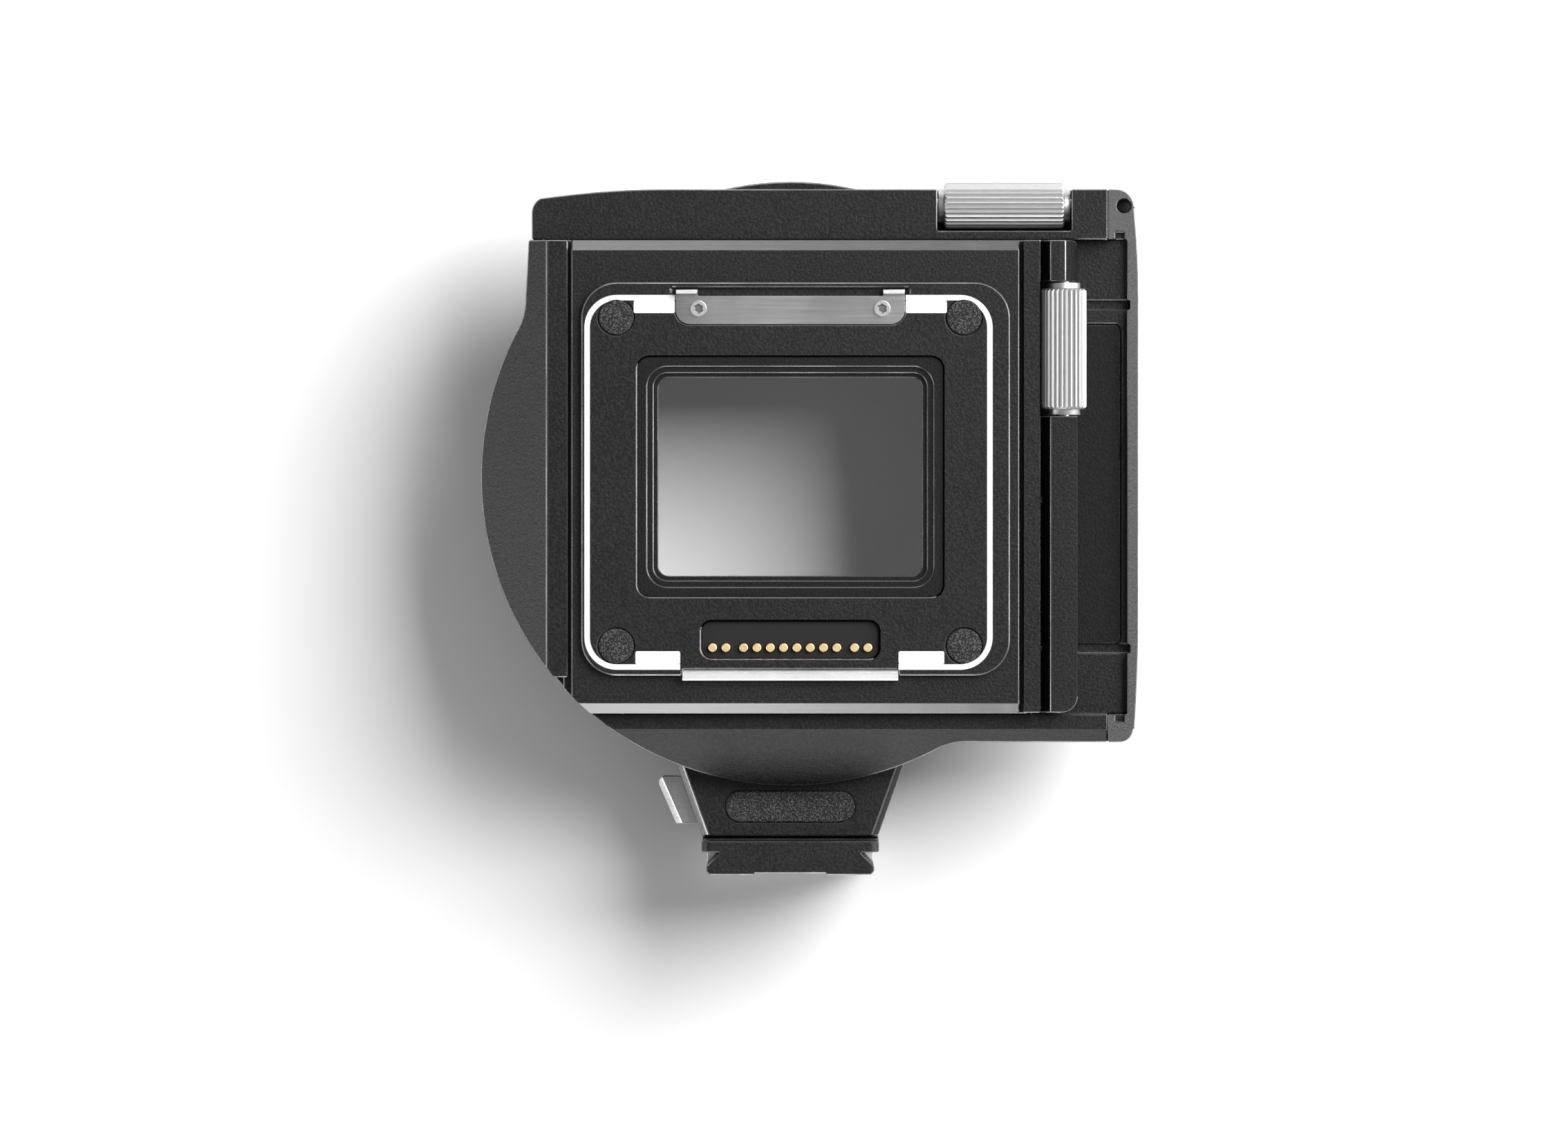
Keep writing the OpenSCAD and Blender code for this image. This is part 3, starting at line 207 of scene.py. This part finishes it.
# small plain metal pieces
def castFinish(name, colour, gloss):
    finish, shader, place = newFinish(name)
    speck = place.noise(1500, 3.0, 0.6)
    stain = place.noise(160, 3.0, 0.6)
    dark = tuple(0.78 * c for c in colour[:3]) + (1,)
    mixed = (0.5 * speck + 0.5 * stain).blend(dark, colour)
    rough = gloss + 0.14 * (speck - 0.5) + 0.10 * (stain - 0.5)
    setFinish(shader, {"Base Color": mixed, "Roughness": rough}, {"Metallic": 1.0}, speck, 0.08, 0.02)
    return finish


# pressed rubber granules: dark with lighter specks
def granuleFinish(name, tone):
    finish, shader, place = newFinish(name)
    lumps = place.noise(3200, 2.0, 0.7)
    specks = place.noise(3200, 1.0, 0.4).smooth(0.47, 0.64)
    colour = specks.blend(grey(tone), grey(tone * 12))
    rough = 0.72 + 0.2 * (lumps - 0.5)
    setFinish(shader, {"Base Color": colour, "Roughness": rough}, {"Specular IOR Level": 0.35},
              lumps + 0.6 * specks, 0.8, 0.12)
    return finish


# thin printed paint
def printFinish(name, tone):
    finish, shader, place = newFinish(name)
    mottle = place.noise(900, 3.0, 0.6)
    colour = mottle.blend(grey(tone * 0.95), grey(tone * 1.03))
    rough = 0.45 + 0.15 * (mottle - 0.5)
    setFinish(shader, {"Base Color": colour, "Roughness": rough}, {"Specular IOR Level": 0.4},
              mottle, 0.05, 0.01)
    return finish


# moulded plastic
def mouldedFinish(name, colour, gloss):
    finish, shader, place = newFinish(name)
    spark = place.noise(3000, 2.0, 0.6)
    flow = place.noise(140, 3.0, 0.5)
    pale = tuple(min(1.0, 1.25 * c + 0.004) for c in colour[:3]) + (1,)
    mixed = (0.5 * spark + 0.5 * flow).blend(colour, pale)
    rough = gloss + 0.16 * (spark - 0.5)
    setFinish(shader, {"Base Color": mixed, "Roughness": rough}, {"Specular IOR Level": 0.4},
              spark, 0.15, 0.02)
    return finish


# the finish of each material slot, then those that single faces and pieces have
finishes = {
    "black_alloy": alloyFinish("blastedBlack", 0.0105, 0.0078, 0.42, 0.38),
    "black_trim": alloyFinish("dullBlack", 0.005, 0.003, 0.55, 0.26),
    "silver_knurl": turnedFinish("turnedSilver", 0.62, (2600, 60, 60)),
    "bright_steel": brushedFinish("brushedSteel", 0.60, (70, 900, 5200), 0.30, 0.9),
    # dark screw steel, also used as the painted shade inside the star sockets
    "screw_steel": castFinish("darkScrewAndSocketShade", grey(0.30), 0.38),
    "bronze": castFinish("turnedBronze", (0.55, 0.38, 0.18, 1), 0.36),
    "gold_contact": castFinish("goldPlate", (0.94, 0.73, 0.40, 1), 0.50),
    "pad_rubber": granuleFinish("granuleRubber", 0.009),
    "black_plastic": mouldedFinish("blackMoulding", grey(0.003), 0.55),
    "board_green": mouldedFinish("solderMask", (0.012, 0.09, 0.035, 1), 0.35),
    "white_washer": mouldedFinish("slipWasher", grey(0.68), 0.40),
}
edgeBlack = edgeFinish("blackEdge", 0.15, 0.27)
# a darker copy of the blasted black, for the screw housing's flanks: painted shade
flankShadeBlack = alloyFinish("flankShadeBlack", 0.0035, 0.001, 0.34, 0.16)
# near-black matte finish: painted shade in the foot's groove and on the sunk edges, and also the bore and
# the hidden rest ring
shadeAndBoreBlack = alloyFinish("shadeAndBoreBlack", 0.0008, 0.0003, 0.80, 0.03)
flankBlack = alloyFinish("flankBlack", 0.0105, 0.0078, 0.64, 0.06)
hookSteel = castFinish("hookSteel", grey(0.97), 0.50)
latchSteel = brushedFinish("latchSteel", 0.56, (70, 900, 5200), 0.33, 2.2, 42)
# bare cut metal for the plate's long bevels, also a painted highlight on the left chamfer of the foot's
# arm
cutBareAndHighlight = brushedFinish("cutEdgeAndHighlight", 0.22, (40, 3000, 3000), 0.25, 0.5)
# the upright knob's copy of the turned silver, rings along Z and darker in tone than the other knob's:
# painted shade
uprightTurnedShaded = turnedFinish("turnedSilverUprightShaded", 0.46, (60, 60, 2600))
screwSteel = castFinish("paleScrew", grey(0.86), 0.36)
whiteInk = printFinish("whiteInk", 0.97)
print("finishes made:", len(bpy.data.materials))

# how edges are found and broken: lengths in mm, angles in degrees
edgeRule = {"merge": 0.002, "flat": 0.4, "sharp": 28, "smooth": 32, "stray": 0.35}


def letGo():
    if bpy.context.object and bpy.context.object.mode != "OBJECT":
        bpy.ops.object.mode_set(mode="OBJECT")
    bpy.ops.object.select_all(action="DESELECT")


def take(piece):
    letGo()
    piece.select_set(True)
    bpy.context.view_layer.objects.active = piece


def settle(piece):
    take(piece)
    for change in list(piece.modifiers):
        bpy.ops.object.modifier_apply(modifier=change.name)


# the primitive that was just added, named and with its place in its mesh
def newest(name):
    piece = bpy.context.object
    piece.name = name
    bpy.ops.object.transform_apply(location=True, rotation=True, scale=True)
    return piece


# corners that a bevel threw wide go back to the solid
def gather(piece, node):
    solid = frame["nodes"][node].data
    skin = BVHTree.FromPolygons([v.co for v in solid.vertices], [f.vertices for f in solid.polygons])
    for vertex in piece.data.vertices:
        nearest = skin.find_nearest(vertex.co)
        place, gap = nearest[0], nearest[3]
        if gap > edgeRule["stray"] * mm:
            vertex.co = place


def soften(piece, width, edgeSlot, segments=2, angle=edgeRule["sharp"], node=None):
    bevel = piece.modifiers.new("edges", "BEVEL")
    bevel.width = width * mm
    bevel.segments = segments
    bevel.limit_method = "ANGLE"
    bevel.angle_limit = math.radians(angle)
    bevel.use_clamp_overlap = False
    bevel.loop_slide = False
    bevel.miter_outer = "MITER_ARC"
    bevel.material = edgeSlot
    settle(piece)
    if node:
        gather(piece, node)
    bpy.ops.object.shade_smooth_by_angle(angle=math.radians(edgeRule["smooth"]))
    piece.modifiers.new("flats", "WEIGHTED_NORMAL").keep_sharp = True
    settle(piece)


def placeOn(piece, node, finish=None, edge=None):
    body = frame["nodes"][node]["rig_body"]
    piece.data.materials.clear()
    piece.data.materials.append(finish or finishes[slotOf[node]])
    if edge:
        piece.data.materials.append(edge)
    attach(piece, body)


# a merged copy of a CAD solid with its edges broken, which stands for that solid
def dress(node, width, finish=None, edge=None, segments=2, angle=edgeRule["sharp"]):
    piece = bpy.data.objects.new(node + "Dressed", frame["nodes"][node].data.copy())
    bpy.context.scene.collection.objects.link(piece)
    take(piece)
    bpy.ops.mesh.customdata_custom_splitnormals_clear()
    bpy.ops.object.mode_set(mode="EDIT")
    bpy.ops.mesh.select_all(action="SELECT")
    bpy.ops.mesh.remove_doubles(threshold=edgeRule["merge"] * mm)
    bpy.ops.mesh.dissolve_limited(angle_limit=math.radians(edgeRule["flat"]))
    bpy.ops.object.mode_set(mode="OBJECT")
    for face in piece.data.polygons:
        face.material_index = 0
    placeOn(piece, node, finish, edge)
    soften(piece, width, 1 if edge else 0, segments, angle, node)
    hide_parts(node)
    return piece


# another finish on the faces of a dressed piece that a test picks, from a least area in square mm
def repaint(node, finish, picks, least=3.0):
    piece = dressed[node]
    piece.data.materials.append(finish)
    slot = len(piece.data.materials) - 1
    for face in piece.data.polygons:
        if face.area > least * mm * mm and picks(face):
            face.material_index = slot


# black pieces and the width of their broken edges, in mm
blackPieces = {
    "front_frame": 0.25, "top_cover": 0.25, "grip_cover": 0.22, "cross_slide": 0.22,
    "y_screw_housing": 0.20, "back_plate": 0.20, "mount_face": 0.30, "gate_frame": 0.12,
    "foot_collar": 0.30, "foot_arm": 0.25, "foot_plate": 0.22, "lens_lock_ring": 0.20,
    "recess_panel": 0.18, "shutter_bezel": 0.15,
}
creases = {"front_frame": 50, "back_plate": 50}      # slopes up to this angle keep a plain crease
dressed = {}
for node, width in blackPieces.items():
    angle = creases.get(node, edgeRule["sharp"])
    dressed[node] = dress(node, width, edge=edgeBlack, segments=1, angle=angle)
print("black pieces dressed:", len(blackPieces))


# the long bevels of the rising plate are cut bare and take the light
def longBevel(face):
    return 0.6 < abs(face.normal[2]) < 0.8 and face.normal[1] < -0.6


# the slanted flanks of the screw housing get a darker copy of the black finish: painted shade
def housingFlank(face):
    return abs(face.normal[0]) > 0.5 and face.normal[1] < -0.2


# the floor of the groove above the foot plate is painted near-black: painted shade
footGroove = {"depth": -5.25, "slack": 0.1, "low": 7.4, "high": 8.6}


def grooveFloor(face):
    off = abs(face.center[1] / mm - footGroove["depth"])
    return off < footGroove["slack"] and footGroove["low"] < face.center[2] / mm < footGroove["high"]


# the bore round the light path gets the near-black matte finish, up to this radius in mm
boreReach = 46


def boreWall(face):
    away = Vector((face.center[0], 0, face.center[2] - lensAxis[2]))
    return away.length < boreReach * mm and face.normal.dot(away) < -0.5 * away.length


# the outer flanks, edge on in the photo, are blasted coarser and do not flare from behind
flankPieces = ("front_frame", "top_cover", "grip_cover", "foot_collar", "lens_lock_ring")


def outerFlank(face):
    return abs(face.normal[1]) < 0.15 and face.material_index == 0


# the left chamfer of the foot's arm gets the bright cut finish while the right one stays black: painted
# highlight
def armChamfer(face):
    return -0.9 < face.normal[0] < -0.4 and face.normal[1] < -0.4


# the upper and right edge chamfers of the gate step and of the contact well are painted near-black:
# painted shade
shadedEdgeBoxes = {"gate": (-36, 36, -31, 29), "well": (-21, 21, -41, -31.5)}


def shadedEdge(face):
    x = face.center[0] / mm
    z = (face.center[2] - lensAxis[2]) / mm
    inside = any(left < x < right and low < z < high for left, right, low, high in shadedEdgeBoxes.values())
    return inside and face.material_index == 1 and min(face.normal[0], face.normal[2]) < -0.3


repaint("back_plate", cutBareAndHighlight, longBevel)
repaint("y_screw_housing", flankShadeBlack, housingFlank)
repaint("foot_plate", shadeAndBoreBlack, grooveFloor)
repaint("front_frame", shadeAndBoreBlack, boreWall)
for node in flankPieces:
    repaint(node, flankBlack, outerFlank)
repaint("foot_arm", cutBareAndHighlight, armChamfer)
repaint("mount_face", shadeAndBoreBlack, shadedEdge, 0)

# bright pieces and the width of their broken edges, in mm
brightPieces = {
    "latch_plate": 0.10, "ledge_bar": 0.05, "foot_stop": 0.15, "lock_lever": 0.25, "lens_ring": 0.15,
    "shutter_button": 0.30, "contact_pins": 0.10, "contact_block": 0.15, "x_knob": 0.05, "y_knob": 0.05,
}
ownFinish = {"latch_plate": latchSteel, "ledge_bar": hookSteel, "foot_stop": hookSteel,
             "y_knob": uprightTurnedShaded}
for node, width in brightPieces.items():
    dressed[node] = dress(node, width, ownFinish.get(node))


# the two hooks of the latch plate, from this height in mm above the light path
hookLow = 40.9


def hookFace(face):
    return face.center[2] / mm > axisHeight + hookLow and face.normal[1] < -0.5


repaint("latch_plate", hookSteel, hookFace)
repaint("lens_ring", shadeAndBoreBlack, boreWall)
print("bright pieces dressed:", len(brightPieces))


# a screw head with a star socket, its outer face at centre and turned along Y by the sign of facing
def starScrew(name, centre, facing, look):
    letGo()
    turn = (-facing * math.pi / 2, 0, 0)
    middle = centre - Vector((0, facing * look["thick"] / 2, 0)) * mm
    bpy.ops.mesh.primitive_cylinder_add(vertices=48, radius=look["head"] * mm, depth=look["thick"] * mm,
                                        location=middle, rotation=turn)
    head = newest(name)
    bpy.ops.mesh.primitive_cylinder_add(vertices=12, radius=look["socket"] * mm,
                                        depth=2 * look["sink"] * mm, location=centre, rotation=turn)
    star = newest(name + "Socket")
    for i, vertex in enumerate(star.data.vertices):
        vertex.select = (i // 2) % 2 == 1
    for edge in star.data.edges:
        edge.select = all(star.data.vertices[v].select for v in edge.vertices)
    for face in star.data.polygons:
        face.select = False
    bpy.ops.object.mode_set(mode="EDIT")
    bpy.ops.mesh.select_mode(type="VERT")
    bpy.ops.transform.resize(value=(look["waist"], 1, look["waist"]), center_override=centre)
    bpy.ops.object.mode_set(mode="OBJECT")
    take(head)
    cut = head.modifiers.new("socket", "BOOLEAN")
    cut.operation = "DIFFERENCE"
    cut.object = star
    settle(head)
    bpy.data.objects.remove(star)
    return head


# the inside of the star socket gets the darker screw finish: painted shade
def socketShade(head, top, facing, look):
    slack = 0.02
    head.data.materials.append(finishes["screw_steel"])
    for face in head.data.polygons:
        away = face.center - top
        sunk = -facing * away[1]
        near = math.hypot(away[0], away[2]) < (1 + slack) * look["socket"] * mm
        if near and slack * mm < sunk < (look["sink"] + slack) * mm:
            face.material_index = 1


def fitScrew(name, node, top, facing, look):
    screw = starScrew(name, top, facing, look)
    placeOn(screw, node, screwSteel)
    soften(screw, look["edge"], 0)
    socketShade(screw, top, facing, look)
    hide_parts(node)


latchScrew = {"head": 1.83, "thick": 0.62, "socket": 1.08, "waist": 0.72, "sink": 0.42, "edge": 0.14,
              "across": 20.7, "proud": 0.9, "up": 37.9}
for side, word in ((-1, "Left"), (1, "Right")):
    top = Vector((side * latchScrew["across"], mountDepth - latchScrew["proud"],
                  axisHeight + latchScrew["up"])) * mm
    fitScrew("latchScrew" + word, "latch_screws", top, -1, latchScrew)

ringScrew = {"head": 1.78, "thick": 0.80, "socket": 1.0, "waist": 0.72, "sink": 0.5, "edge": 0.12,
             "circle": 48.2, "count": 6}
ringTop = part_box("lens_ring_screws")[1][1]
for k in range(ringScrew["count"]):
    turn = 2 * math.pi * k / ringScrew["count"]
    top = Vector((ringScrew["circle"] * mm * math.sin(turn), ringTop,
                  lensAxis[2] + ringScrew["circle"] * mm * math.cos(turn)))
    fitScrew("lensRingScrew%d" % (k + 1), "lens_ring_screws", top, 1, ringScrew)
print("screws made")


# white printed outline on the mount face
def flatSheet(name, left, right, low, high):
    letGo()
    middle = ((left + right) / 2 * mm, mountPlane, (axisHeight + (low + high) / 2) * mm)
    bpy.ops.mesh.primitive_plane_add(size=1, rotation=facingBack, location=middle)
    bpy.context.object.scale = ((right - left) * mm, (high - low) * mm, 1)
    return newest(name)


# rounds the corners of the sheet in edit mode
def roundCorners(radius, segments):
    bpy.ops.mesh.select_all(action="SELECT")
    bpy.ops.mesh.bevel(offset_type="ABSOLUTE", offset=radius * mm, segments=segments, affect="VERTICES")


inkFrame = {"left": -46.4, "right": 45.6, "low": -43.5, "high": 41.0, "corner": 7.3, "line": 1.25,
            "topGap": (-26.0, 26.0), "lowGap": (-24.8, 24.4), "round": 0.4, "ink": 0.03, "lean": 0.4}
inkTabs = {"inkTabTopLeft": (-35.3, -26.0, 36.9, 39.75), "inkTabTopRight": (26.0, 35.3, 36.9, 39.75),
           "inkTabLowLeft": (-34.9, -24.8, -42.25, -39.3), "inkTabLowRight": (24.4, 34.7, -42.25, -39.3)}
line = flatSheet("inkFrame", inkFrame["left"], inkFrame["right"], inkFrame["low"], inkFrame["high"])
take(line)
bpy.ops.object.mode_set(mode="EDIT")
roundCorners(inkFrame["corner"], 14)
bpy.ops.mesh.select_all(action="SELECT")
bpy.ops.mesh.inset(thickness=inkFrame["line"] * mm)
bpy.ops.mesh.delete(type="FACE")
for x in inkFrame["topGap"] + inkFrame["lowGap"]:
    bpy.ops.mesh.select_all(action="SELECT")
    bpy.ops.mesh.bisect(plane_co=(x * mm, 0, 0), plane_no=(1, 0, 0))
bpy.ops.mesh.select_all(action="DESELECT")
bpy.ops.object.mode_set(mode="OBJECT")
for face in line.data.polygons:
    gap = inkFrame["topGap"] if face.center[2] > lensAxis[2] else inkFrame["lowGap"]
    face.select = gap[0] * mm < face.center[0] < gap[1] * mm
bpy.ops.object.mode_set(mode="EDIT")
bpy.ops.mesh.delete(type="FACE")
bpy.ops.object.mode_set(mode="OBJECT")
inkPieces = [line]
for name, place in inkTabs.items():
    tab = flatSheet(name, *place)
    bpy.ops.object.mode_set(mode="EDIT")
    roundCorners(inkFrame["round"], 4)
    bpy.ops.object.mode_set(mode="OBJECT")
    inkPieces.append(tab)
for piece in inkPieces:
    film = piece.modifiers.new("film", "SOLIDIFY")
    film.thickness = inkFrame["ink"] * mm
    film.offset = inkFrame["lean"]
    settle(piece)
    placeOn(piece, "mount_face", whiteInk)
print("white outline printed:", len(inkPieces), "pieces")

# round rubber buffers with a softly crowned face, and the foot's oblong one
buffer = {"radius": 3.95, "thick": 1.2, "proud": 0.25, "round": 0.35, "footRound": 0.45, "steps": 4,
          "smooth": 40,
          "places": {"bufferTopLeft": (-39.2, 36.0), "bufferTopRight": (39.2, 36.0),
                     "bufferLowLeft": (-39.2, -38.1), "bufferLowRight": (39.2, -38.1)}}
for name, (x, z) in buffer["places"].items():
    letGo()
    depth = mountPlane + (buffer["thick"] / 2 - buffer["proud"]) * mm
    bpy.ops.mesh.primitive_cylinder_add(vertices=72, radius=buffer["radius"] * mm,
                                        depth=buffer["thick"] * mm, rotation=facingBack,
                                        location=(x * mm, depth, (axisHeight + z) * mm))
    disc = newest(name)
    for face in disc.data.polygons:
        face.select = face.normal[1] < -0.9
    bpy.ops.object.mode_set(mode="EDIT")
    bpy.ops.mesh.select_mode(type="FACE")
    bpy.ops.mesh.bevel(offset=buffer["round"] * mm, segments=buffer["steps"], affect="EDGES")
    bpy.ops.object.mode_set(mode="OBJECT")
    placeOn(disc, "mount_pads")
    bpy.ops.object.shade_smooth_by_angle(angle=math.radians(buffer["smooth"]))
    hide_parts("mount_pads")
footBuffer = dress("foot_pad", buffer["footRound"], segments=buffer["steps"])
print("rubber buffers made")

# inner pieces keep their solids
for node, solid in frame["nodes"].items():
    if not solid.hide_render:
        solid.data.materials.clear()
        solid.data.materials.append(finishes[slotOf[node]])

# the table top that the camera body lies on, clear from behind and to shadow rays
table = {"depth": 27, "reach": 6000, "tone": 0.35, "seen": 0.87, "lift": 0.005}
letGo()
bpy.ops.mesh.primitive_plane_add(size=table["reach"] * mm, rotation=facingBack,
                                 location=(0, table["depth"] * mm, lensAxis[2]))
tableTop = newest("tableTop")
paper = bpy.data.materials.new("paleTable")
paper.use_nodes = True
tree = paper.node_tree
tree.nodes.clear()
wire = Wire(tree)
rays = rayKinds(tree)
seen = rays["Camera"] + rays["Glossy"] + rays["Transmission"]
matte = wire.node("ShaderNodeBsdfDiffuse", None, {"Color": table["tone"] + table["seen"] * seen})
glow = wire.node("ShaderNodeEmission", None, {"Color": grey(1.0), "Strength": seen * table["lift"]})
both = wire.node("ShaderNodeAddShader", None, {0: matte, 1: glow})
behind = wire.node("ShaderNodeNewGeometry", None, None, "Backfacing")
clear = wire.node("ShaderNodeBsdfTransparent")
passes = behind.most(rays["Shadow"])
mixed = wire.node("ShaderNodeMixShader", None, {0: passes, 1: both, 2: clear})
end = tree.nodes.new("ShaderNodeOutputMaterial")
tree.links.new(mixed.socket, end.inputs["Surface"])
tableTop.data.materials.append(paper)

# a dark ring that the body rests on, kept out of the picture
rest = {"radius": 65, "low": 3.8, "high": 26.8}
letGo()
bpy.ops.mesh.primitive_cylinder_add(vertices=96, radius=rest["radius"] * mm, end_fill_type="NOTHING",
                                    depth=(rest["high"] - rest["low"]) * mm, rotation=facingBack,
                                    location=(0, (rest["low"] + rest["high"]) / 2 * mm, lensAxis[2]))
restRing = newest("restRing")
restRing.data.materials.append(shadeAndBoreBlack)
restRing.visible_camera = False

# place, width and height in metres, watts, and whether it lights matte surfaces
lamps = {
    "key": ((1.04, -1.25, 0.83), 1.4, 1.2, 43, True),
    "lowStrip": ((0.00, -0.24, -0.58), 0.40, 0.28, 1.6, False),
    "lowSpot": ((-0.06, -0.04, -0.60), 0.05, 0.20, 0.20, False),
    "topStrip": ((-0.14, -0.08, 0.86), 0.3, 0.30, 0.34, False),
    "rightStrip": ((0.90, -0.32, 0.22), 0.35, 0.6, 6.5, False),
    "leftStrip": ((-0.85, -0.34, -0.22), 0.35, 0.8, 5.0, False),
    "frontFill": ((-0.7, 1.6, 0.9), 1.0, 1.0, 4, True),
    "lensLeft": ((-0.80, 0.90, 0.55), 0.5, 0.9, 4.0, False),
    "lensRight": ((0.85, 0.80, 0.15), 0.4, 0.9, 3.0, False),
}
for name, (spot, width, height, power, matteToo) in lamps.items():
    lamp = bpy.data.lights.new(name, "AREA")
    lamp.shape = "RECTANGLE"
    lamp.size = width
    lamp.size_y = height
    lamp.energy = power
    holder = bpy.data.objects.new(name, lamp)
    holder.location = spot
    holder.rotation_euler = (lensAxis - Vector(spot)).to_track_quat("-Z", "Y").to_euler()
    holder.visible_diffuse = matteToo
    bpy.context.scene.collection.objects.link(holder)

# the room is white where it is seen and fills the shadows a little
air = {"fill": 0.28, "seen": 0.72, "shine": 0.01}
room = bpy.data.worlds.new("paleRoom")
room.use_nodes = True
bpy.context.scene.world = room
sky = room.node_tree.nodes["Background"]
rays = rayKinds(room.node_tree)
white = rays["Camera"].most(rays["Transmission"])
level = air["fill"] + air["seen"] * white + air["shine"] * rays["Glossy"]
sky.inputs["Color"].default_value = grey(1.0)
room.node_tree.links.new(level.socket, sky.inputs["Strength"])

# the photo's straight view of the back: distance and lens in mm, clipping in metres
view = {"away": 3000, "lens": 305.7, "sensor": 36, "shiftX": -0.004, "shiftY": -0.0569, "clip": (0.05, 50)}
eye = bpy.data.cameras.new("photoEye")
eye.sensor_width = view["sensor"]
eye.lens = view["lens"]
eye.shift_x = view["shiftX"]
eye.shift_y = view["shiftY"]
eye.clip_start, eye.clip_end = view["clip"]
holder = bpy.data.objects.new("photoEye", eye)
holder.location = (0, mountPlane - view["away"] * mm, lensAxis[2])
holder.rotation_euler = facingBack
bpy.context.scene.collection.objects.link(holder)
bpy.context.scene.camera = holder
bpy.context.scene.view_settings.view_transform = "Standard"
print("stage set")
